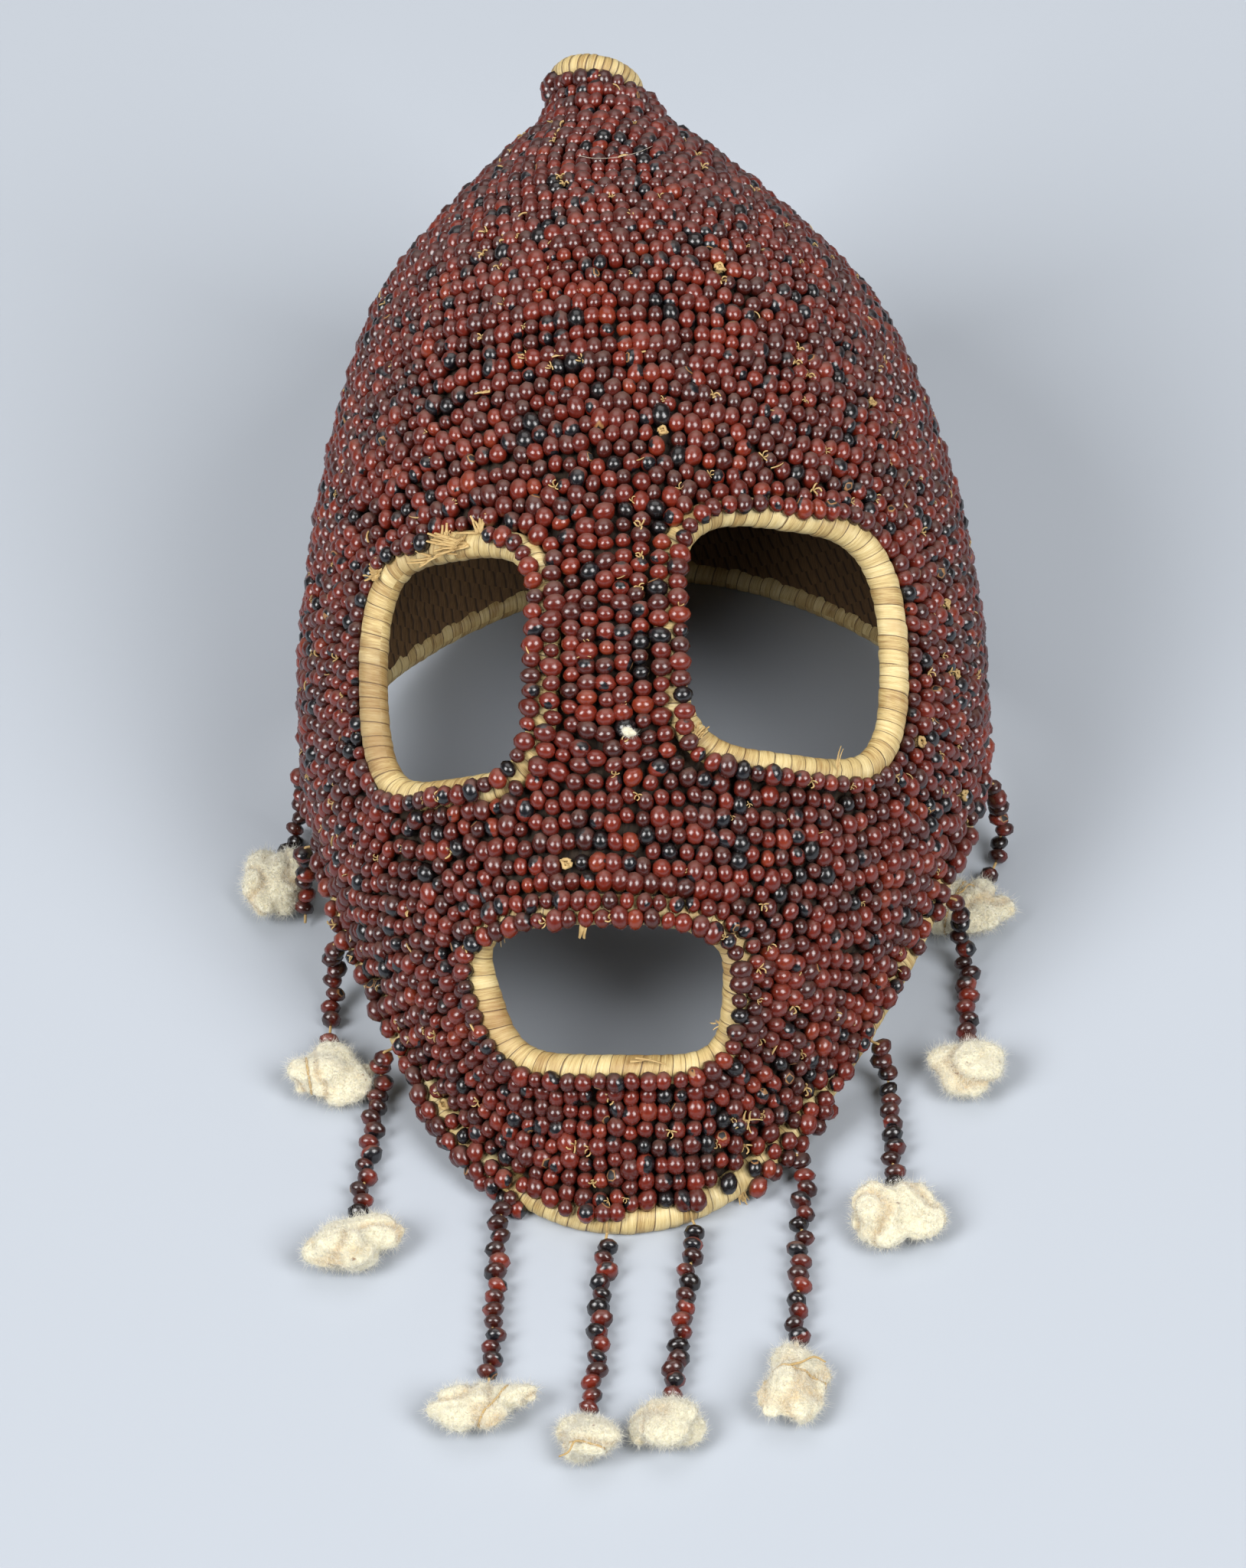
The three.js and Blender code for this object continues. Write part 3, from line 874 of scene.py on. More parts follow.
# Seeds that would lie in a coil are raised onto it, and lean with its side
def liftOver(point, normal, lines, reach, batch=1500):
    for line in lines:
        for start in range(0, len(point), batch):
            part = slice(start, start + batch)
            away = point[part, None] - line[None]
            close = np.linalg.norm(away, axis=-1).argmin(1)
            out = away[np.arange(len(close)), close]
            height = (out * normal[part]).sum(-1)
            aside = out - height[:, None] * normal[part]
            beside = np.linalg.norm(aside, axis=-1)
            rise = np.sqrt(np.maximum(reach**2 - beside**2, 0)) - height
            rise = np.where((beside < reach) & (rise > 0), rise, 0)[:, None]
            point[part] += normal[part] * rise
            normal[part] = unit(normal[part] + 0.5 * aside / reach * (rise > 0))
    return point, normal


# A single seed
seedForm = {
    "across": 6.8,  # across the thread, along the hood
    "along": 5.5,
    "height": 6.2,
    "sizeSpread": 0.17,
    "tilt": 18,
    "dent": 0.13,
    "blackShare": 0.04,
    "patchGrowth": 0.12,  # of the black patch round each seed's eye
    "holedShare": 0.05,
}


def seedSkin(tree):
    local = tree.attribute("seedPoint", "Vector")
    aim = tree.attribute("patchAim", "Vector")
    speckle = tree.noise(tree.objectPoint(), 1500, 3, 0.6)
    cloud = tree.noise(tree.objectPoint(), 420, 2)
    skin = tree.ramp(tree.attribute("tone") + (cloud - 0.5) * 0.22, [
        (0.00, paint(14, 13, 15)), (0.05, paint(26, 17, 17)), (0.09, paint(46, 16, 12)),
        (0.40, paint(74, 21, 13)), (0.74, paint(99, 27, 15)), (0.95, paint(115, 35, 18)),
        (1.00, paint(124, 45, 22)),
    ])
    mottled = tree.mix(tree.step(speckle, 0.52, 0.72) * 0.35, skin, paint(40, 16, 16))
    toAim = tree.dot(local, aim)
    patch = tree.step(toAim + (cloud - 0.5) * 0.5 + tree.attribute("patchSize"), 0.96, 1.04)
    patched = tree.mix(patch, mottled, paint(18, 18, 23))
    toDust = tree.dot(local, tree.attribute("dustAim", "Vector"))
    settled = tree.step(toDust + (speckle - 0.5) * 0.9, 0.0, 1.15)
    ruddy = tree.step(tree.attribute("tone"), 0.0, 0.1) * (1 - patch * 0.5)
    dust = settled * tree.attribute("dustiness") * (ruddy * 0.85 + 0.15)
    farther = tree.step(tree.separate(tree.objectPoint())[1], 0.0, 0.2)
    dirt = tree.mix(farther, paint(124, 96, 81), paint(80, 66, 62))
    dusted = tree.mix(dust * (farther * 0.35 + 0.5), patched, dirt)
    # Each seed's underside, which faces the hood and its neighbours, is darkened: painted shade between
    # the seeds
    upward = tree.separate(local)[2]
    shadedUnderside = tree.mix((1 - tree.step(upward, -0.5, 0.35)) * 0.75, dusted, paint(22, 9, 6))
    holed = tree.attribute("holed")
    lip = tree.step(toAim, 0.80, 0.86) * holed
    # A holed seed's pit is painted nearly black: painted shade inside the hole, which the bump also
    # sinks. Its lip keeps the broken shell's own tan.
    shadedPit = tree.step(toAim, 0.88, 0.91) * holed
    return {
        "Base Color": tree.mix(shadedPit, tree.mix(lip, shadedUnderside, paint(150, 104, 56)), paint(12, 6, 4)),
        "Roughness": 0.25 + dust * 0.52 + lip * 0.4,
        "Specular IOR Level": 0.8,
        "Normal": tree.bump(speckle - shadedPit * 6, 0.14, 0.0001),
    }


# Instances a seed on every point, turned to face out of the hood and run with its row
def seedTree(finish):
    tree, given = newGroup("strungSeeds", {
        "Size": ("Vector", (1, 1, 1)),
        "Dent": ("Float", 0.1),
        "Tilt": ("Float", 0.2),
        "Size Spread": ("Float", 0.1),
        "Black Share": ("Float", 0.05),
        "Patch Growth": ("Float", 0.0),
        "Holed Share": ("Float", 0.05),
        "Segments": ("Int", 9),
        "Rings": ("Int", 6),
        "Crownward": ("Vector", (0, 0, 1)),
        "Seed": ("Int", 0),
    })
    ball = tree.node("GeometryNodeMeshUVSphere", {}, {
        "Segments": given["Segments"], "Rings": given["Rings"], "Radius": 1.0,
    })
    lying = tree.node("GeometryNodeTransform", {}, {"Geometry": ball, "Rotation": (0, math.pi / 2, 0)})
    place = tree.node("GeometryNodeInputPosition")
    shapes = []
    for variant in range(5):
        lump = tree.node("ShaderNodeTexNoise", {"noise_dimensions": "4D"}, {
            "Vector": place, "W": 3.7 * variant, "Scale": 0.7, "Detail": 1.0,
        }, "Color")
        push = tree.vector("MULTIPLY", tree.vector("SUBTRACT", lump, (0.5, 0.5, 0.5)), (4, 4, 4))
        dented = tree.moved(lying, tree.scale(push, given["Dent"]))
        shapes.append(tree.asInstance(tree.smooth(tree.store(dented, "seedPoint", place))))

    def random(kind, low, high, step):
        return tree.random(kind, low, high, given["Seed"] + step)

    swing = tree.scale(random("FLOAT_VECTOR", (-1, -1, -1), (1, 1, 1), 1), given["Tilt"])
    tilted = tree.turnedOn(tree.facingOut(), swing)
    grow = 1 + random("FLOAT", -1.0, 1.0, 2) * given["Size Spread"]
    wide = 1 + random("FLOAT", -1.0, 1.0, 3) * given["Size Spread"] * 0.6
    size = tree.vector("MULTIPLY", given["Size"], tree.combine(grow, grow * wide, grow))
    placed = tree.node("GeometryNodeInstanceOnPoints", {}, {
        "Points": given["Geometry"], "Instance": tree.together(shapes), "Pick Instance": True,
        "Instance Index": random("INT", 0, len(shapes) - 1, 4), "Rotation": tilted, "Scale": size,
    })
    home = tree.node("FunctionNodeInvertRotation", {}, {"Rotation": tilted})
    crownward = {"Vector": given["Crownward"], "Rotation": home}
    aim = tree.vector("NORMALIZE", random("FLOAT_VECTOR", (-1, -1, -1), (1, 1, 1), 5))
    black = tree.math("LESS_THAN", random("FLOAT", 0.0, 1.0, 6), given["Black Share"])
    marks = {
        "dustAim": ("FLOAT_VECTOR", tree.node("FunctionNodeRotateVector", {}, crownward)),
        "patchAim": ("FLOAT_VECTOR", aim),
        "tone": ("FLOAT", random("FLOAT", 0.2, 1.0, 7) * (1 - black)),
        "patchSize": ("FLOAT", random("FLOAT", -0.5, 0.45, 8) + given["Patch Growth"]),
        "holed": ("FLOAT", tree.math("LESS_THAN", random("FLOAT", 0.0, 1.0, 10), given["Holed Share"])),
        "dustiness": ("FLOAT", random("FLOAT", 0.25, 1.0, 9)),
    }
    for name, (kind, value) in marks.items():
        placed = tree.store(placed, name, value, kind, "INSTANCE")
    return endGroup(tree, placed, finish)


seedFinish = material("seedSkin", seedSkin)
strungSeeds = seedTree(seedFinish)


def dressSeeds(name, points, facing, heading, seed, form=seedForm):
    cloud = newMesh(name, points, attributes={"facing": facing, "heading": heading})
    size = [form[key] * mm / 2 for key in ("along", "across", "height")]
    return runTree(cloud, strungSeeds, {
        "Size": size, "Dent": form["dent"], "Tilt": rad(form["tilt"]),
        "Size Spread": form["sizeSpread"], "Black Share": form["blackShare"],
        "Patch Growth": form["patchGrowth"], "Holed Share": form["holedShare"],
        "Crownward": tuple(turnDown((0, 0, 1))), "Seed": seed,
    })


# The ring at the crown
crown = {
    "coilRadius": 4.6, "ringRadius": 11.6, "gap": 0.35, "askew": -3.8,
    "wrapWidth": 2.1, "wrapDepth": 0.3,
}


# The crown ring's middle, and its ways across, to the front and out of the crown
def crownFrame():
    rim = hoodPoint(np.arange(4) / 2 * math.pi, 1)
    across, forward = unit(rim[1] - rim[3]), unit(rim[0] - rim[2])
    axis = unit(np.cross(across, forward))
    axis = axis if axis[1] > 0 else -axis
    raised = axis * (crown["coilRadius"] + crown["gap"])
    return (rim[0] + rim[2]) / 2 + raised + across * crown["askew"], across, forward, axis


def crownLine(steps=60):
    centre, across, forward, _ = crownFrame()
    turn = np.arange(steps)[:, None] / steps * 2 * math.pi
    return centre + (across * np.sin(turn) + forward * np.cos(turn)) * crown["ringRadius"]


# What else shows between the seeds
strays = {
    "thread": {"share": 0.055, "size": (1.0, 2.2), "rise": 1.4},  # its ends, beside seeds
    "sliver": {"share": 0.012, "size": (1.3, 2.6), "rise": 1.4},  # splinters of straw
    "husk": {"share": 0.004, "size": (1.4, 2.1), "rise": 0.6},  # of broken seeds, in their place
    "swerve": 0.7, "ruggedness": 0.36,
    "bare": [(-27.5, 0.466, 6.4), (-23, 0.47, 5)],  # where seeds are missing: turn, place and reach
}


def strayStraw(tree):
    tone = tree.noise(tree.objectPoint(), 260, 3)
    fine = tree.noise(tree.objectPoint(), 1800, 2)
    straw = tree.mix(tone * 0.7 + fine * 0.3, paint(142, 100, 48), paint(222, 196, 136))
    return {"Base Color": straw, "Roughness": 0.7, "Normal": tree.bump(fine, 0.4, 0.0001)}


# Instances thread ends, splinters or husks, by each point's kind
def strayTree(finish):
    tree, given = newGroup("strayBits", {"Ruggedness": ("Float", 0.2)})

    def ring(sides, radius):
        sockets = {"Resolution": sides, "Radius": radius}
        return tree.node("GeometryNodeCurvePrimitiveCircle", {}, sockets)

    def bow(start, middle, end, steps):
        sockets = {"Resolution": steps, "Start": start, "Middle": middle, "End": end}
        return tree.node("GeometryNodeCurveQuadraticBezier", {}, sockets)

    def swept(curve, profile):
        sockets = {"Curve": curve, "Profile Curve": profile, "Fill Caps": True}
        return tree.asInstance(tree.smooth(tree.node("GeometryNodeCurveToMesh", {}, sockets)))

    root = (0, 0, -0.3)
    thread = swept(tree.together([
        bow(root, (0.3, 0.5, 0.9), (1.0, -0.2, 0.3), 4),
        bow(root, (-0.6, 0.2, 0.7), (-0.7, -0.6, 0.2), 4),
        bow(root, (0.6, -0.6, 0.9), (-0.3, -0.9, 0.8), 4),
        bow(root, (-0.2, 0.6, 0.5), (-0.8, 0.7, 0.4), 3),
    ]), ring(4, 0.14))
    flat = tree.node("GeometryNodeCurvePrimitiveQuadrilateral", {}, {"Width": 0.1, "Height": 0.42})
    sliver = swept(bow((-1, 0, 0.2), (0, 0.3, 0.75), (1, -0.1, 0.25), 5), flat)
    lump = tree.node("ShaderNodeTexNoise", {}, {"Scale": 2.2, "Detail": 2.0}, "Color")
    push = tree.scale(tree.vector("SUBTRACT", lump, (0.5, 0.5, 0.2)), given["Ruggedness"] * 5)
    rim = swept(tree.moved(ring(14, 0.72), push), ring(5, 0.34))
    core = tree.node("GeometryNodeMeshIcoSphere", {}, {"Radius": 0.75, "Subdivisions": 2})
    broken = tree.scale(tree.vector("SUBTRACT", lump, (0.5, 0.5, 0.62)), given["Ruggedness"] * 4)
    both = tree.together([rim, tree.asInstance(tree.moved(core, broken))])
    husk = tree.asInstance(tree.node("GeometryNodeRealizeInstances", {}, {"Geometry": both}))
    placed = tree.node("GeometryNodeInstanceOnPoints", {}, {
        "Points": given["Geometry"], "Instance": tree.together([thread, sliver, husk]),
        "Pick Instance": True, "Instance Index": tree.stored("kind", "FLOAT"),
        "Rotation": tree.facingOut(), "Scale": tree.stored("size", "FLOAT"),
    })
    return endGroup(tree, placed, finish)


strayFinish = material("strayStraw", strayStraw)
strayBits = strayTree(strayFinish)


def scatterStrays(point, normal, heading, empty, chance):
    drawn = chance.random(len(point))
    beside = point + heading * seedForm["along"] / 2
    chosen = {
        "thread": (beside, drawn < strays["thread"]["share"]),
        "sliver": (beside, (drawn > 0.5) & (drawn < 0.5 + strays["sliver"]["share"])),
        "husk": (point, empty),
    }
    parts = []
    for kind, (name, (at, here)) in enumerate(chosen.items()):
        count = here.sum()
        size = chance.uniform(*strays[name]["size"], count) * mm
        turned = unit(heading[here] + chance.normal(0, strays["swerve"], (count, 3)))
        raised = at[here] + normal[here] * strays[name]["rise"]
        parts.append((raised, normal[here], turned, size, np.full(count, float(kind))))
    places, facing, run, size, kind = (np.concatenate(column) for column in zip(*parts))
    marks = {"facing": facing, "heading": run, "size": size, "kind": kind}
    bits = newMesh("strayBits", places, attributes=marks)
    runTree(bits, strayBits, {"Ruggedness": strays["ruggedness"]})
    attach(bits, "root")
    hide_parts("seed_cover")


# Seeds that climb onto the left of the crown's ring: turn round it and rise, in degrees
climbing = {"seeds": [(-108, -34), (-87, -38), (-64, -50)], "reach": 5.2, "jitter": 0.2}


def crownClimbers(chance):
    centre, across, forward, axis = crownFrame()
    turn, rise = np.radians(np.array(climbing["seeds"], float)).T
    out = across * np.sin(turn)[:, None] + forward * np.cos(turn)[:, None]
    facing = out * np.cos(rise)[:, None] + axis * np.sin(rise)[:, None]
    point = centre + out * crown["ringRadius"] + facing * climbing["reach"]
    jitter = chance.normal(0, climbing["jitter"], point.shape)
    return point + jitter, facing, np.cross(axis, out)


# The cover is made in four pieces, so that none grows too big
def makeCover():
    chance = np.random.default_rng(strung["seed"])
    spots = strungSpots()
    jitter = chance.normal(0, strung["jitter"], (len(spots), 3))
    point = np.array([s.point - s.normal * strung["sinking"] for s in spots]) + jitter
    normal = np.array([s.normal for s in spots])
    rims = [lowerCoilLine(), crownLine(), *(openingLine(opening) for opening in openings.values())]
    point, normal = liftOver(point, normal, rims, strung["coilReach"])
    point[:, 2] = np.maximum(point[:, 2], strung["ground"])
    heading = np.array([s.heading for s in spots])
    turn, place = np.array([s.turn for s in spots]), np.array([s.place for s in spots])
    turn = (turn + math.pi) % (2 * math.pi) - math.pi
    empty = chance.random(len(spots)) < strays["husk"]["share"]
    scatterStrays(point, normal, heading, empty, chance)
    for bareTurn, barePlace, reach in strays["bare"]:
        middle = hoodPoint(np.array(rad(bareTurn)), np.array(barePlace))
        empty |= np.linalg.norm(point - middle, axis=1) < reach
    climbers = crownClimbers(chance)
    point, normal, heading = (
        np.concatenate([sewn[~empty], added])
        for sewn, added in zip((point, normal, heading), climbers))
    turn = np.concatenate([turn[~empty], np.zeros(len(climbers[0]))])
    place = np.concatenate([place[~empty], np.ones(len(climbers[0]))])
    front = np.abs(turn) < rad(strung["frontTo"])
    zones = {
        "faceSeeds": front & (place < strung["faceTo"]),
        "browSeeds": front & (place >= strung["faceTo"]),
        "leftBackSeeds": ~front & (turn < 0),
        "rightBackSeeds": ~front & (turn >= 0),
    }
    for number, (name, zone) in enumerate(zones.items()):
        seed = strung["formSeed"] + number
        cover = dressSeeds(name, point[zone], normal[zone], heading[zone], seed)
        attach(cover, "root")
        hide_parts("seed_cover")
        triangles = sum(len(face.vertices) - 2 for face in cover.data.polygons)
        print(name, int(zone.sum()), "seeds,", triangles, "triangles")


# Straw coils
coils = {
    "sides": 18,
    "step": 0.75,  # between a coil's sections
    "wrapWidth": 4.7,
    "irregularity": 0.9,  # of the wraps' widths
    "overlap": 0.36,
    "unevenness": 0.6,
    "radius": 4.5,  # of the core, under the straw
    "seam": 0.075, "crownSeam": 0.29,  # the dark between wraps, and on the finer ones at the crown
    "crownReach": (22, 28),
}


# Marks on the straw: which opening, the angle round it, reach, strength and colour
strawMarks = [
    ("leftEye", 183, 30, 0.55, (128, 94, 52)),
    ("leftEye", 100, 16, 0.3, (150, 112, 66)),
    ("rightEye", 26, 3.2, 0.95, (88, 44, 30)),
    ("mouth", 192, 16, 0.35, (150, 108, 60)),
    ("mouth", 20, 14, 0.35, (142, 100, 56)),
]


# The number of the wrap that a point of a coil lies in, how far across it, and how far round
def wrapAt(tree, across, up, along):
    round = tree.math("ARCTAN2", up, across) / (2 * math.pi)
    phase = along + round
    number = tree.math("FLOOR", phase)
    return number, phase - number, round


def strawSkin(tree):
    number, part, round = wrapAt(tree, *tree.separate(tree.attribute("coilPoint", "Vector")))
    fibre = tree.noise(tree.combine(part * 22, round * 4, number * 3.1), 1, 4, 0.65)
    wide = tree.noise(tree.combine(part * 5, round * 3, number * 1.7), 1, 2)
    straw = tree.ramp(fibre * 0.55 + wide * 0.3 + tree.draw(number) * 0.17, [
        (0.26, paint(98, 64, 30)), (0.38, paint(160, 128, 76)),
        (0.52, paint(205, 181, 124)), (0.76, paint(236, 220, 172)),
    ])
    wavy = part + (fibre - 0.5) * 0.06
    toCrown = tree.vector("DISTANCE", tree.objectPoint(), tuple(crownFrame()[0] * mm), output="Value")
    off = tree.step(toCrown, *(reach * mm for reach in coils["crownReach"]))
    seamWidth = coils["crownSeam"] - off * (coils["crownSeam"] - coils["seam"])
    seam = 1 - tree.step(wavy, 0.0, seamWidth) + tree.step(wavy, 0.95, 0.995)
    stain = tree.step(tree.noise(tree.objectPoint(), 60, 3), 0.54, 0.74) * 0.5
    stained = tree.mix(stain, straw, paint(160, 120, 70))
    for name, angle, reach, strength, colour in strawMarks:
        spot = openingLine(openings[name], 360)[angle] * mm
        away = tree.vector("DISTANCE", tree.objectPoint(), tuple(spot), output="Value")
        ragged = away + (wide - 0.5) * reach * mm * 0.8
        marked = (1 - tree.step(ragged, reach * mm * 0.5, reach * mm)) * strength
        stained = tree.mix(marked, stained, paint(*colour))
    grime = tree.math("MULTIPLY", seam, tree.step(wide, 0.25, 0.6) * 0.6 + 0.4, clamp=True)
    split = tree.step(fibre, 0.62, 0.7) * 0.6
    lined = tree.math("MAXIMUM", grime, split)
    return {
        "Base Color": tree.mix(lined, stained, paint(66, 36, 16)),
        "Roughness": 0.34 + fibre * 0.25,
        "Normal": tree.bump(fibre + wide * 0.5, 0.5, 0.0004),
    }


# Sweeps a coil along a line and wraps it with straw, each wrap lapping over the one before
def coilTree(finish):
    tree, given = newGroup("wrappedCoil", {
        "Radius": ("Float", 0.004),
        "Wrap Width": ("Float", 0.005),
        "Irregularity": ("Float", 0.5),
        "Overlap": ("Float", 0.0005),
        "Unevenness": ("Float", 0.3),
        "Sides": ("Int", 18),
        "Step": ("Float", 0.001),
        "Seed": ("Int", 0),
    })
    curve = tree.node("GeometryNodeMeshToCurve", {}, {"Mesh": given["Geometry"]})
    sockets = {"Curve": curve, "Length": given["Step"]}
    even = tree.node("GeometryNodeResampleCurve", {"mode": "LENGTH"}, sockets)
    length = tree.node("GeometryNodeSplineParameter", {}, {}, "Length")
    place = tree.node("GeometryNodeInputPosition")
    sway = (tree.noise(place, 62, 1) - 0.5) * given["Irregularity"] * 2
    ruled = tree.store(even, "ahead", length / given["Wrap Width"] + sway, "FLOAT")
    sockets = {"Resolution": given["Sides"], "Radius": 1.0}
    circle = tree.node("GeometryNodeCurvePrimitiveCircle", {}, sockets)
    sized = {
        "Geometry": tree.store(circle, "coilPoint", place),
        "Scale": tree.combine(given["Radius"], given["Radius"], 1.0),
    }
    sockets = {"Curve": ruled, "Profile Curve": tree.node("GeometryNodeTransform", {}, sized)}
    tube = tree.node("GeometryNodeCurveToMesh", {}, sockets)
    ahead = tree.stored("ahead", "FLOAT")
    across, up, _ = tree.separate(tree.stored("coilPoint"))
    number, part, _ = wrapAt(tree, across, up, ahead)
    bulge = tree.math("SINE", part * math.pi)
    uneven = 1 + (tree.draw(number + given["Seed"]) - 0.5) * given["Unevenness"] * 2
    lift = (part * 0.55 + bulge * 0.45) * uneven * given["Overlap"]
    wrapped = tree.moved(tube, tree.scale(tree.node("GeometryNodeInputNormal"), lift))
    stored = tree.store(wrapped, "coilPoint", tree.combine(across, up, ahead))
    return endGroup(tree, tree.smooth(stored), finish)


strawFinish = material("strawSkin", strawSkin)
wrappedCoil = coilTree(strawFinish)


def pointArray(mesh):
    flat = np.empty(len(mesh.vertices) * 3)
    mesh.vertices.foreach_get("co", flat)
    return flat.reshape(-1, 3)


def setPoints(mesh, point):
    mesh.vertices.foreach_set("co", np.asarray(point).ravel())
    mesh.update()


def dressCoil(name, line, node, seed, radius=coils["radius"], wrapWidth=coils["wrapWidth"]):
    count = len(line)
    piece = newMesh(name, line, edges=[(i, (i + 1) % count) for i in range(count)])
    length = np.linalg.norm(line - np.roll(line, 1, 0), axis=1).sum()
    wraps = round(length / wrapWidth)
    runTree(piece, wrappedCoil, {
        "Radius": radius * mm, "Wrap Width": length * mm / wraps, "Overlap": coils["overlap"] * mm,
        "Irregularity": coils["irregularity"], "Unevenness": coils["unevenness"],
        "Sides": coils["sides"], "Step": coils["step"] * mm, "Seed": seed,
    })
    point = pointArray(piece.data)
    point[:, 2] = np.maximum(point[:, 2], 0)
    setPoints(piece.data, point)
    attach(piece, "root")
    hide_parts(node)
    return piece


def makeCoils():
    nodes = {"leftEye": "left_eye_rim", "rightEye": "right_eye_rim", "mouth": "mouth_rim"}
    for seed, (name, node) in enumerate(nodes.items()):
        dressCoil(name + "Straw", openingLine(openings[name]), node, seed)
    dressCoil("lowerRimStraw", lowerCoilLine(), "lower_rim", 3)
    core = crown["coilRadius"] - crown["wrapDepth"]
    dressCoil("crownRingStraw", crownLine(), "crown_ring", 4, core, crown["wrapWidth"])


# The basketry hood
basket = {
    "turns": 300, "rows": 96,
    "outer": 5.1, "inner": 9.0,
    "coilWidth": 5.2, "ridge": 0.75, "roundness": 0.7,
    "room": 0.6, "flatter": 0.8,  # for the ridges in the wall, and of those outside, under the seeds
    "wraps": 150,  # stitches round a coil
    "pastRim": 1.2,  # how far the wall's cut edges reach under the straw coils
    "lowest": 0.3,
}


def basketSkin(tree):
    round, coil, outside = tree.separate(tree.attribute("weave", "Vector"))
    row = tree.math("FLOOR", coil)
    stitch = round + coil * 0.35 + tree.math("FRACT", row * 0.37)
    ridge = tree.math("PINGPONG", stitch, 0.5) * 2
    fibre = tree.noise(tree.combine(round * 9, coil * 1.2, row), 1, 3, 0.6)
    aged = tree.noise(tree.objectPoint(), 30, 3)
    straw = tree.ramp(fibre * 0.6 + aged * 0.4, [
        (0.2, paint(54, 37, 20)), (0.5, paint(94, 68, 38)), (0.85, paint(132, 100, 60)),
    ])
    wrapped = tree.mix((1 - tree.step(ridge, 0.0, 0.35)) * 0.8, straw, paint(34, 22, 12))
    # The outer face, under the seeds, is darkened almost to black: painted shade in the gaps between the
    # seeds
    return {
        "Base Color": tree.mix(outside * 0.8, wrapped, paint(16, 9, 5)),
        "Roughness": 0.8,
        "Normal": tree.bump(tree.step(ridge, 0.0, 0.6) + fibre * 0.4, 0.6, 0.0006),
    }


# A face of a closed grid, with so many points in a row
def gridFace(row, column, count):
    low, high, after = row * count, (row + 1) * count, (column + 1) % count
    return low + column, low + after, high + after, high + column


# Both faces of the wall on one grid, with its cut edges closed under the coils
def makeBasket():
    count, rows = basket["turns"], basket["rows"]
    turn = np.arange(count) / count * 2 * math.pi
    bottom = coilPlaceOver(turn, edgeHeight)
    part = np.arange(rows + 1)[:, None] / rows
    place = bottom + (0.999 - bottom) * part
    turns = np.broadcast_to(turn, place.shape)
    point, normal = hoodPoint(turns, place), hoodNormal(turns, place)
    steps = np.linalg.norm(np.diff(point[::-1], axis=0), axis=-1)
    fromCrown = np.concatenate([np.zeros((1, count)), np.cumsum(steps, 0)])[::-1]
    coil = fromCrown / basket["coilWidth"]
    ridge = np.abs(np.sin(math.pi * coil)) ** basket["roundness"] * basket["ridge"]
    outer = point - normal * (basket["outer"] + basket["room"] - ridge * basket["flatter"])[..., None]
    inner = point - normal * (basket["inner"] - basket["room"] + ridge)[..., None]
    # The weave's third part is 1 on the outer face, where the skin paints the shade under the seeds
    weave = np.stack([turns / (2 * math.pi) * basket["wraps"], coil, np.ones_like(coil)], -1)
    keep = np.ones((rows, count), bool)
    middlePlace = (place[1:] + place[:-1]) / 2
    middleTurn = np.broadcast_to(turn + math.pi / count, middlePlace.shape)
    for opening in openings.values():
        keep &= outsideOf(opening, middleTurn, middlePlace)[0] > basket["pastRim"]
    size = (rows + 1) * count
    sheet = [gridFace(row, column, count) for row, column in zip(*np.nonzero(keep))]
    sides = {}
    for face in sheet:
        for a, b in zip(face, face[1:] + face[:1]):
            sides[a, b] = True
    walls = [(b, a, a + size, b + size) for a, b in sides if (b, a) not in sides]
    back = [tuple(v + size for v in reversed(face)) for face in sheet]
    used = sorted({v for face in sheet + walls + back for v in face})
    renumber = {old: new for new, old in enumerate(used)}
    faces = [tuple(renumber[v] for v in face) for face in sheet + walls + back]
    points = np.concatenate([outer.reshape(-1, 3), inner.reshape(-1, 3)])[used]
    points[:, 2] = np.maximum(points[:, 2], basket["lowest"])
    weaves = np.concatenate([weave.reshape(-1, 3), weave.reshape(-1, 3) * (1, 1, 0)])[used]
    piece = newMesh("basketryHood", points, faces=faces, attributes={"weave": weaves})
    piece.data.materials.append(material("basketSkin", basketSkin))
    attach(piece, "root")
    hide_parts("basketry_hood")


# Strands of seeds
strands = {
    # turn round the hood, seeds, heading
    "list": [
        (-97, 8, -14), (-87, 6, 4), (-78, 9, 2), (-68, 14, -2), (-38, 14, 1), (-4, 14, 0),
        (25, 14, -3), (53, 15, 0), (69, 12, 4), (82, 13, 2), (95, 10, -18),
        (142, 10, -160), (178, 9, 178), (-145, 10, 163),
    ],
    "beadRadius": 3.3, "beadPitch": 4.85, "ground": 3.6,
    "form": {
        "across": 7.2, "along": 4.8, "height": 6.8, "sizeSpread": 0.08, "tilt": 18, "dent": 0.1,
        "blackShare": 0.08, "patchGrowth": 0.36, "holedShare": 0.03,
    },
    "zigzag": 0.55, "jitter": 0.25,
    "thread": 0.45, "pastSeeds": 3,  # how far the thread runs on into the tuft
    "seed": 31, "formSeed": 300,
    # how it leaves the coil: past a short drop it hangs, leans out and bends onto the ground
    "gap": 0.35, "shortDrop": 4, "hangLean": 1.5, "landLean": 3, "landRun": 5, "landBow": 0.45,
    "run": (18, 40, 70, 110),  # points on the ground that it is led through
    "bare": {2: 7, 10: 7},  # strands that lack a seed, and which
    "tieReach": 5.3,  # of the thread that ties a strand on, round the lower coil
}


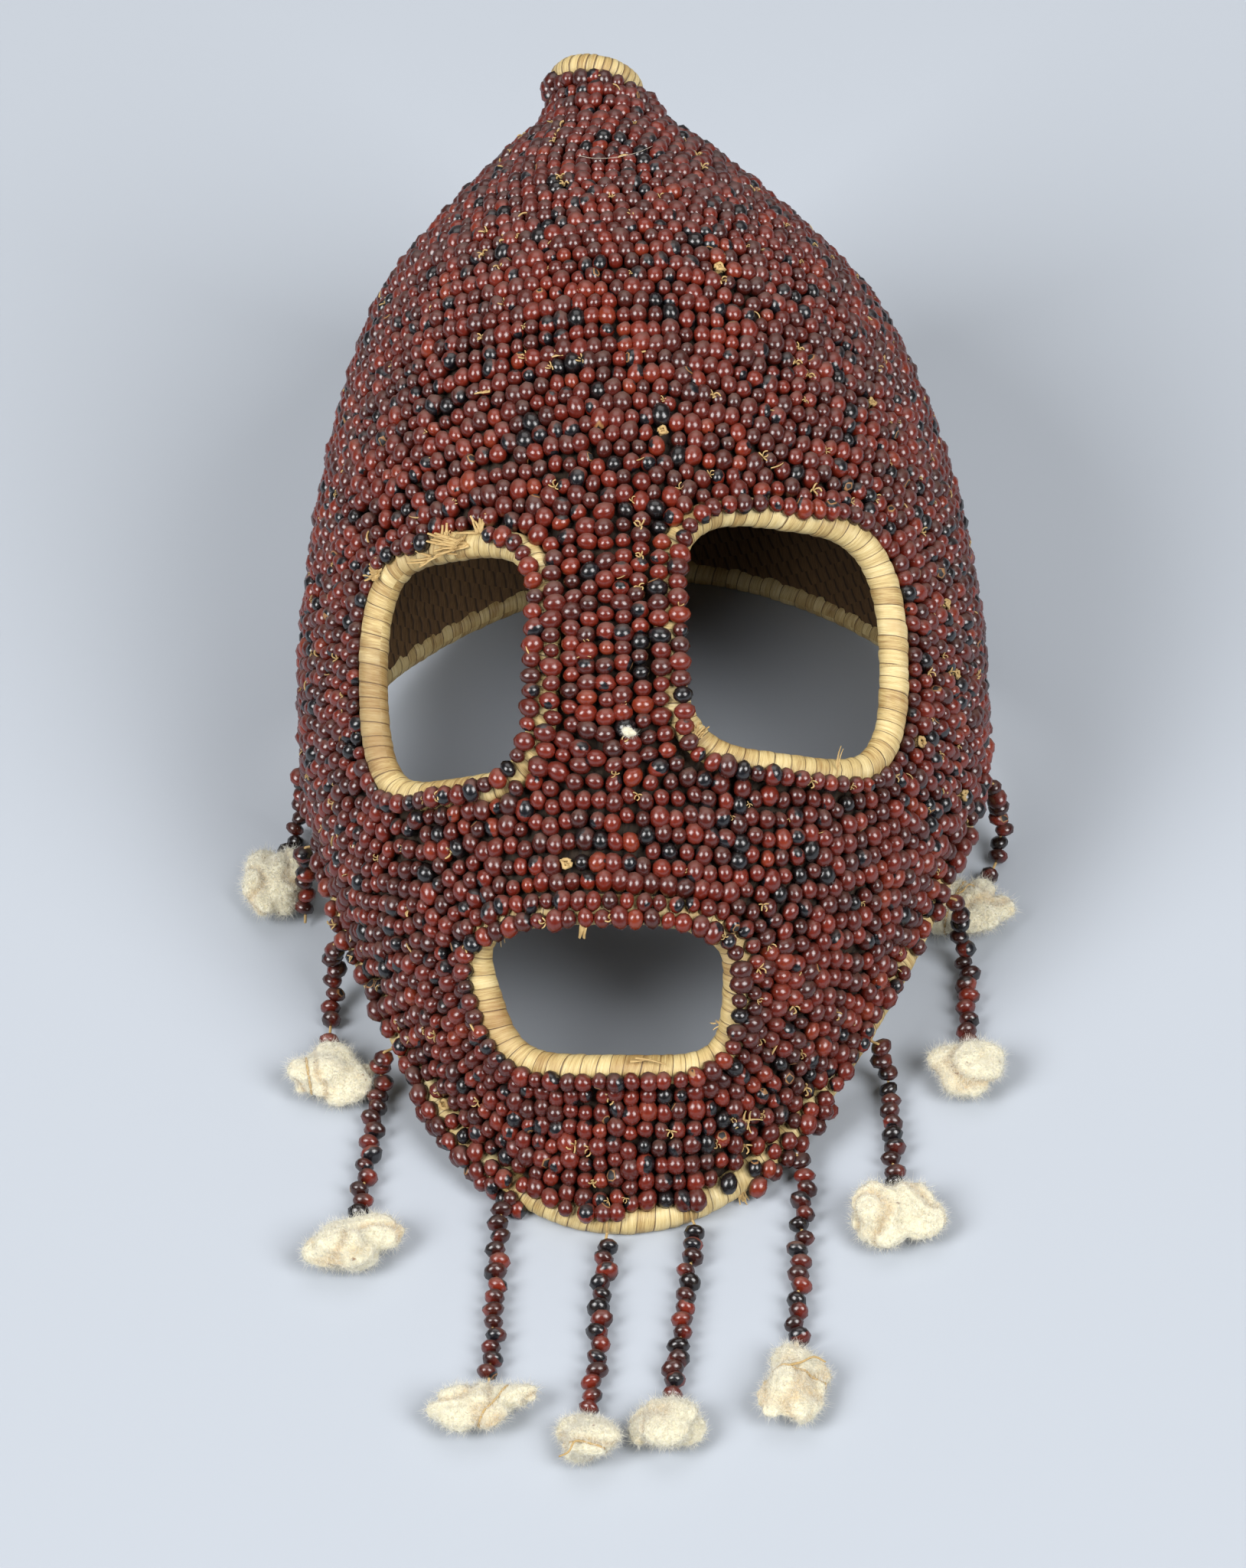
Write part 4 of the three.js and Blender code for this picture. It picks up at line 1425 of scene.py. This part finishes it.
# A smooth line through points, eased so that it doesn't overshoot where they bunch
def smoothLine(points, steps=24):
    points = [np.asarray(p, float) for p in points]
    ends = [2 * points[0] - points[1], *points, 2 * points[-1] - points[-2]]
    line = []
    for p0, p1, p2, p3 in zip(ends, ends[1:], ends[2:], ends[3:]):
        gaps = (p1 - p0, p2 - p1, p3 - p2)
        d0, d1, d2 = (math.sqrt(max(np.linalg.norm(gap), 1e-6)) for gap in gaps)
        v1 = ((p1 - p0) / d0 - (p2 - p0) / (d0 + d1) + (p2 - p1) / d1) * d1
        v2 = ((p2 - p1) / d1 - (p3 - p1) / (d1 + d2) + (p3 - p2) / d2) * d1
        t = np.arange(steps)[:, None] / steps
        line.append(curveThrough(p1, p2, v1, v2, t))
    return np.concatenate([*line, ends[-2][None]])


# Points at distances along a line, and the way it runs there
def alongLine(line, distances):
    length = np.concatenate([[0], np.cumsum(np.linalg.norm(np.diff(line, axis=0), axis=1))])

    def read(at):
        return np.stack([np.interp(at, length, axis) for axis in line.T], -1)

    distances = np.asarray(distances, float)
    return read(distances), unit(read(distances + 0.3) - read(distances - 0.3))


def strandLine(turn, heading):
    angle = np.array([rad(turn)])
    place = coilPlaceOver(angle, edgeHeight)
    coil = wallPoint(angle, place, hood["seedDepth"])[0]
    normal = hoodNormal(angle, place)[0]
    out = unit(normal * (1, 1, 0))
    run = np.array([math.sin(rad(heading)), -math.cos(rad(heading)), 0])
    start = coil + out * (edge["coilRadius"] + strands["beadRadius"] + strands["gap"])
    start[2] = max(coil[2], strands["ground"])
    drop = start[2] - strands["ground"]
    level = np.array([1, 1, 0])
    points, landed = [start], start
    if drop > strands["shortDrop"]:
        hanging = (start + out * strands["hangLean"]) * level
        hanging[2] = strands["ground"] + drop * strands["landBow"]
        landed = (start + out * strands["landLean"] + run * strands["landRun"]) * level
        landed[2] = strands["ground"]
        points += [hanging, landed]
    ground = np.array([0, 0, strands["ground"]])
    points += [landed * level + run * reach + ground for reach in strands["run"]]
    ways = (normal - out * 0.4, normal, normal + out, out)
    tie = smoothLine([*(coil + unit(way) * strands["tieReach"] for way in ways), start], 5)
    tie[:, 2] = np.maximum(tie[:, 2], strands["thread"])
    return smoothLine(points), tie


def threadSkin(tree):
    twist = tree.noise(tree.objectPoint(), 2500, 2)
    twine = tree.mix(twist, paint(150, 118, 70), paint(206, 178, 122))
    return {"Base Color": twine, "Roughness": 0.8, "Normal": tree.bump(twist, 0.3, 0.0001)}


threadFinish = material("threadSkin", threadSkin)


# A thin round cord along a line, closed at both ends. Its sides start from a way that none runs.
def cordMesh(name, line, radius, sides=6, taper=0):
    line = np.asarray(line, float)
    ahead = unit(np.gradient(line, axis=0))
    side = np.cross(ahead, (0.13, 0.21, 0.97))
    tooShort = np.linalg.norm(side, axis=1, keepdims=True) < 0.1
    side = unit(np.where(tooShort, np.cross(ahead, (1, 0, 0)), side))
    up = np.cross(side, ahead)
    count = len(line)
    width = radius * (1 - taper * np.linspace(0, 1, count))[:, None]
    turns = np.arange(sides) / sides * 2 * math.pi
    rings = [line + (side * math.cos(turn) + up * math.sin(turn)) * width for turn in turns]
    points = np.stack(rings, 1).reshape(-1, 3)
    faces = [gridFace(row, column, sides) for row in range(count - 1) for column in range(sides)]
    faces += [tuple(range(sides))[::-1], tuple(range((count - 1) * sides, count * sides))]
    return newMesh(name, points, faces=[face[::-1] for face in faces])


def makeStrands():
    chance = np.random.default_rng(strands["seed"])
    for number, (turn, beads, heading) in enumerate(strands["list"]):
        line, tie = strandLine(turn, heading)
        held = np.array([i for i in range(beads) if i != strands["bare"].get(number)])
        at = (held + 0.5) * strands["beadPitch"]
        point, ahead = alongLine(line, at)
        point += chance.normal(0, strands["jitter"], point.shape) * (1, 1, 0.3)
        side = unit(np.cross(ahead, (0, 0, 1)) + 1e-6)
        swerve = np.where(held % 2, 1, -1) * chance.uniform(0, strands["zigzag"] * 2, len(held))
        point += side * swerve[:, None]
        roll = chance.uniform(0, 2 * math.pi, (len(held), 1))
        facing = side * np.cos(roll) + np.cross(side, ahead) * np.sin(roll)
        point[:, 2] = np.maximum(point[:, 2], strands["ground"])
        name = "strand%02d" % (number + 1)
        seed = strands["formSeed"] + number
        seeds = dressSeeds(name, point, facing, ahead, seed, strands["form"])
        reach = np.linspace(0, beads * strands["beadPitch"] + strands["pastSeeds"], 30)
        threads = [
            cordMesh(name + "Thread", alongLine(line, reach)[0], strands["thread"]),
            cordMesh(name + "Tie", tie, strands["thread"]),
        ]
        for thread in threads:
            thread.data.materials.append(threadFinish)
        piece = joined(name, [seeds, *threads])
        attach(piece, "root")
        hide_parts("seed_strand_%02d" % (number + 1))


# The cotton tufts at the strands' ends
tufts = {
    "count": 13,
    "lobes": (6, 9), "lobeReach": (0.25, 0.62), "lobeSize": (0.42, 0.62), "lobeSpread": (0.9, 1.1),
    "voxel": 0.8, "smoothing": 5,
    "fill": 0.98,  # of the box that its solid takes up, before the fibres
    "lowest": 0.25,
    "seed": 500, "fibreSeed": 700,
    "lump": 0.8, "lumpSize": 7, "crease": 0.5, "creaseSize": 1.8,
    "foldSize": 13, "foldWidth": 0.11, "foldDepth": 1.3,  # of the valleys between its lobes
    "fibres": 4200, "fibreLength": 3.4, "fibreWidth": 0.058,
    # how far along a tuft its string is tied, its turn in degrees, how far that pinches it in, and
    # the length and the way of the string's loose end
    "ties": {
        1: (0.28, 12, 0.16, 0, 0), 3: (0.62, -30, 0.12, 0, 0), 4: (0.3, 80, 0.14, 9, -140),
        6: (0.55, 75, 0.12, 11, 10), 9: (0.35, -20, 0.14, 8, 30),
    },
    "string": 0.4, "pinchReach": 0.2,
}


def cottonSkin(tree):
    point = tree.objectPoint()
    wool = tree.noise(point, 800, 4, 0.65)
    loose = tree.attribute("loose")
    stain = tree.noise(point, 150, 3, 0.6)
    speck = tree.noise(point, 420, 1)
    cream = tree.mix(wool, paint(214, 204, 170), paint(242, 237, 214))
    stained = tree.mix(tree.step(stain, 0.54, 0.78) * 0.45, cream, paint(206, 176, 116))
    # The valleys between the lobes are tinted tan: painted shade in the folds
    foldShaded = tree.mix(tree.attribute("crease") * wool, stained, paint(186, 148, 88))
    specked = tree.mix(tree.step(speck, 0.72, 0.78) * 0.8, foldShaded, paint(124, 80, 36))
    # The loose fibres are painted lighter than the tuft's body: painted light that offsets the shade
    # they cast on one another
    return {
        "Base Color": tree.mix(loose * 0.8, specked, paint(252, 248, 230)),
        "Roughness": 0.95,
        "Subsurface Weight": 0.4,
        "Subsurface Scale": 0.003,
        "Subsurface Radius": (1.0, 0.9, 0.7),
        "Sheen Weight": 0.4,
        "Normal": tree.bump(wool * (1 - loose), 0.7, 0.0012),
    }


# Scatters short fibres over cotton
def fibreTree(finish):
    tree, given = newGroup("cottonFibres", {
        "Density": ("Float", 100000),
        "Length": ("Float", 0.003),
        "Width": ("Float", 0.0001),
        "Seed": ("Int", 0),
    })
    points = tree.node("GeometryNodeDistributePointsOnFaces", {}, {
        "Mesh": given["Geometry"], "Density": given["Density"], "Seed": given["Seed"],
    }, "Points")
    spike = tree.node("GeometryNodeMeshCone", {}, {
        "Vertices": 3, "Depth": 1.0,
        "Radius Top": 0.0, "Radius Bottom": given["Width"] / given["Length"],
    })
    spin = tree.random("FLOAT_VECTOR", (-1.45, -1.45, -3.14), (1.45, 1.45, 3.14), given["Seed"] + 1)
    size = tree.random("FLOAT", 0.4, 1.25, given["Seed"] + 2)
    sockets = {"Vector": points.other("Normal")}
    upright = tree.node("FunctionNodeAlignRotationToVector", {"axis": "Z"}, sockets)
    # Each fibre is marked loose, and the cotton's skin paints it lighter: painted light
    fibres = tree.node("GeometryNodeInstanceOnPoints", {}, {
        "Points": points, "Instance": tree.store(spike, "loose", 1.0, "FLOAT"),
        "Rotation": tree.turnedOn(upright, spin), "Scale": size * given["Length"],
    })
    return endGroup(tree, tree.together([fibres, given["Geometry"]]), finish)


cottonFibres = fibreTree(material("cottonSkin", cottonSkin))


def lobedBlob(name, half, chance, voxel=tufts["voxel"]):
    parts = []
    for number in range(int(chance.integers(*tufts["lobes"]))):
        direction = unit(chance.normal(0, 1, 3))
        centre = direction * half * chance.uniform(*tufts["lobeReach"])
        size = half * chance.uniform(*tufts["lobeSize"]) * chance.uniform(*tufts["lobeSpread"], 3)
        bpy.ops.mesh.primitive_ico_sphere_add(subdivisions=3, radius=1)
        lobe = bpy.context.object
        lobe.data.transform(Matrix.Translation(centre) @ Matrix.Diagonal((*size, 1)))
        parts.append(lobe)
    blob = joined(name, parts)
    blob.location = (0, 0, 0)
    remesh = blob.modifiers.new("wool", "REMESH")
    remesh.mode = "VOXEL"
    remesh.voxel_size = voxel
    smooth = blob.modifiers.new("soft", "SMOOTH")
    smooth.iterations = tufts["smoothing"]
    return settle(blob)


# Pinches a tuft where a string is tied round it, and says where that is and which way it faces
def tieUp(point, half, tie):
    along, turn, depth = tie[:3]
    way = np.array([math.cos(rad(turn)), math.sin(rad(turn)), 0])
    extent = np.linalg.norm(half * way)
    at = (point @ way) / extent - (2 * along - 1)
    pinch = 1 - depth * np.exp(-(at / tufts["pinchReach"]) ** 2)
    side = point - np.outer(point @ way, way)
    return point + side * (pinch - 1)[:, None], way * (2 * along - 1) * extent, way


# The string's path over the tuft, found from well outside it
def stringRound(mesh, centre, middle, way, steps=28, far=30):
    faces = [tuple(face.vertices) for face in mesh.polygons]
    skin = BVHTree.FromPolygons([vertex.co for vertex in mesh.vertices], faces)
    side = unit(np.cross(way, (0, 0, 1)))
    path = []
    for angle in np.arange(steps) / steps * 2 * math.pi:
        out = side * math.cos(angle) + np.array([0, 0, 1]) * math.sin(angle)
        hit = skin.ray_cast(Vector((centre + middle + out * far) * mm), Vector(-out), far * mm)[0]
        if hit is not None:
            path.append(np.array(hit) / mm + out * 0.15)
    return path


# A string's loose end, which leaves the top of its loop and falls to the ground
def looseEnd(path, length, heading):
    start = max(path, key=lambda at: at[2])
    run = np.array([math.cos(rad(heading)), math.sin(rad(heading)), 0])
    reach = np.array([0, 0.3, 0.7, 1.0])[:, None] * length
    rise = np.array([0, 1.6, 1.2, -0.4])[:, None] * (0, 0, 1)
    swerve = np.array([0, 0.8, -0.9, 0.5])[:, None] * np.cross(run, (0, 0, 1))
    return smoothLine(start + run * reach + rise + swerve, 5)


def makeTufts():
    for number in range(tufts["count"]):
        chance = np.random.default_rng(tufts["seed"] + number)
        node = "cotton_tuft_%02d" % (number + 1)
        low, high = (np.array(corner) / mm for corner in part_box(node))
        half, centre = (high - low) / 2, (high + low) / 2
        blob = lobedBlob("tuft%02d" % (number + 1), half, chance)
        point = pointArray(blob.data)
        normal = np.array([v.normal for v in blob.data.vertices])
        for depth, size in ((tufts["lump"], tufts["lumpSize"]), (tufts["crease"], tufts["creaseSize"])):
            swirl = [noise(Vector(p / size) + Vector((number * 9, depth * 50, 0))) for p in point]
            point += normal * (depth * np.array(swirl))[:, None]
        crease = [noise(Vector(p / tufts["foldSize"]) + Vector((number * 5, 20, 7))) for p in point]
        crease = np.exp(-(np.array(crease) / tufts["foldWidth"]) ** 2)
        point -= normal * (tufts["foldDepth"] * crease)[:, None]
        # The valleys' mask is kept, and the cotton's skin paints shade into the folds with it
        blob.data.attributes.new("crease", "FLOAT", "POINT").data.foreach_set("value", crease)
        if number in tufts["ties"]:
            point, middle, way = tieUp(point, half, tufts["ties"][number])
        point = point * (half / np.abs(point).max(0)) * tufts["fill"] + centre
        point[:, 2] = np.maximum(point[:, 2], tufts["lowest"])
        setPoints(blob.data, point * mm)
        area = sum(face.area for face in blob.data.polygons)
        strings = []
        if number in tufts["ties"]:
            path = stringRound(blob.data, centre, middle, way)
            strings.append(cordMesh("string", [*path, path[0]], tufts["string"]))
            length, heading = tufts["ties"][number][3:]
            if length:
                end = looseEnd(path, length, heading)
                strings.append(cordMesh("stringEnd", end, tufts["string"], taper=0.3))
            for string in strings:
                string.data.materials.append(threadFinish)
        fluffy = runTree(blob, cottonFibres, {
            "Density": tufts["fibres"] / area, "Seed": tufts["fibreSeed"] + number,
            "Length": tufts["fibreLength"] * mm, "Width": tufts["fibreWidth"] * mm,
        })
        fluffy.data.shade_smooth()
        piece = joined("tuft%02d" % (number + 1), [fluffy, *strings])
        point = pointArray(piece.data)
        point[:, 2] = np.maximum(point[:, 2], 0.0001)
        setPoints(piece.data, point)
        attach(piece, "root")
        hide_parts(node)


# Frayed straw at the rims, a hair on the crown, and a scrap of cotton
frays = {
    # turn and place on the hood, rise over it, way it points (0 towards the right), spread,
    # number of ends, length, width, curl
    "list": [
        (-25, 0.464, 2.4, 175, 24, 12, 13, 1.9, 0.16), (-29, 0.462, 2.2, 40, 60, 9, 8, 1.6, 0.3),
        (-22, 0.470, 2.2, 120, 60, 8, 6, 1.5, 0.35), (-31, 0.458, 3.0, 200, 50, 6, 6, 1.3, 0.4),
        (-43, 0.455, 3.6, 40, 180, 22, 3.6, 1.6, 0.6), (14, 0.338, 3.2, 60, 45, 11, 5, 1.1, 0.5),
        (39.5, 0.328, 3.6, 95, 18, 4, 7, 0.5, 0.4),
        (-20, 0.227, 3.6, 235, 14, 2, 8, 0.6, -0.5), (-5, 0.227, 3.8, 255, 10, 2, 6, 1.8, -0.5),
        (4, 0.145, 2.4, 0, 4, 2, 9, 1.1, 0.02), (23, 0.170, 3.6, 180, 30, 5, 2.6, 0.6, 0.3),
        (41.5, 0.070, 1.5, -70, 26, 10, 5, 0.8, 0.15),
        (-8.5, 0.578, 1.6, 180, 6, 2, 5.5, 1.5, 0.05), (5, 0.578, 1.6, 0, 6, 1, 5, 1.4, 0.05),
        (-22, 0.557, 1.8, 190, 12, 2, 5, 1.2, 0.1), (35.5, 0.113, 2.5, 20, 180, 8, 4, 0.8, 0.4),
    ],
    "hair": [(-9, 0.778), (-3, 0.772), (3.5, 0.773), (11, 0.781), (18.5, 0.795)],
    "hairRise": 1.4, "hairRadius": 0.08,
    # a scrap of cotton beside the nose: turn, place and rise
    "scrap": (3, 0.338, 2.6), "scrapHalf": (2.6, 1.6, 1.5), "scrapVoxel": 0.5,
    "scrapFibres": 260, "scrapFibreLength": 1.6, "scrapFibreWidth": 0.04, "scrapSeed": 900,
    "seed": 77, "thinness": 0.2, "steps": 6,
}


def hairSkin(tree):
    return {"Base Color": paint(196, 186, 168), "Roughness": 0.6}


# A scrap of cotton caught between the seeds
def makeScrap(chance):
    turn, place, rise = frays["scrap"]
    turn, place, half = np.array([rad(turn)]), np.array([place]), np.array(frays["scrapHalf"])
    centre = (hoodPoint(turn, place) + hoodNormal(turn, place) * rise)[0]
    scrap = lobedBlob("scrap", half, chance, frays["scrapVoxel"])
    point = pointArray(scrap.data)
    setPoints(scrap.data, (point * (half / np.abs(point).max(0)) + centre) * mm)
    area = sum(face.area for face in scrap.data.polygons)
    scrap = runTree(scrap, cottonFibres, {
        "Density": frays["scrapFibres"] / area, "Seed": frays["scrapSeed"],
        "Length": frays["scrapFibreLength"] * mm, "Width": frays["scrapFibreWidth"] * mm,
    })
    scrap.data.shade_smooth()
    return scrap


# Flat tapering ribbons along lines
def ribbonTree(finish):
    tree, given = newGroup("strawRibbons", {"Thinness": ("Float", 0.2)})
    curve = tree.node("GeometryNodeMeshToCurve", {}, {"Mesh": given["Geometry"]})
    part = tree.node("GeometryNodeSplineParameter", {}, {}, "Factor")
    sockets = {"Curve": curve, "Radius": tree.stored("width", "FLOAT") * (1 - part * 0.6)}
    tapered = tree.node("GeometryNodeSetCurveRadius", {}, sockets)
    sockets = {"Width": 1.0, "Height": given["Thinness"]}
    profile = tree.node("GeometryNodeCurvePrimitiveQuadrilateral", {}, sockets)
    ribbon = tree.node("GeometryNodeCurveToMesh", {}, {
        "Curve": tapered, "Profile Curve": profile,
        "Scale": tree.node("GeometryNodeInputRadius"), "Fill Caps": True,
    })
    return endGroup(tree, tree.smooth(ribbon), finish)


def makeFrays():
    chance = np.random.default_rng(frays["seed"])
    points, edges, widths = [], [], []
    for turn, place, rise, way, spread, count, length, width, curl in frays["list"]:
        turn, place = np.array([rad(turn)]), np.array([place])
        normal = hoodNormal(turn, place)[0]
        start = hoodPoint(turn, place)[0] + normal * (rise - strung["sinking"])
        east = unit(hoodTangents(turn, place)[0][0])
        north = np.cross(normal, east)
        for _ in range(count):
            angle = rad(way + chance.uniform(-spread, spread))
            run = east * math.cos(angle) + north * math.sin(angle)
            reach = length * chance.uniform(0.6, 1.1)
            root = start + (east * chance.normal(0, 0.8) + north * chance.normal(0, 0.5))
            swerve = np.cross(normal, run) * chance.normal(0, 0.12)
            for step in range(frays["steps"] + 1):
                t = step / frays["steps"]
                points.append(root + run * reach * t + (normal * curl + swerve) * reach * t * t)
                widths.append(width * mm * chance.uniform(0.85, 1.1))
                if step:
                    edges.append((len(points) - 2, len(points) - 1))
    piece = newMesh("frays", points, edges=edges, attributes={"width": widths})
    piece = runTree(piece, ribbonTree(strayFinish), {"Thinness": frays["thinness"]})
    turn, place = np.array(frays["hair"], float).T
    turn = np.radians(turn)
    hair = smoothLine(hoodPoint(turn, place) + hoodNormal(turn, place) * frays["hairRise"], 6)
    strand = cordMesh("hair", hair, frays["hairRadius"], 4)
    strand.data.materials.append(material("hairSkin", hairSkin))
    piece = joined("frays", [piece, strand, makeScrap(chance)])
    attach(piece, "root")


makeCoils()
print("coils wrapped")
makeBasket()
print("basketry made")
makeStrands()
makeTufts()
print("strands and tufts made")
makeFrays()
makeCover()
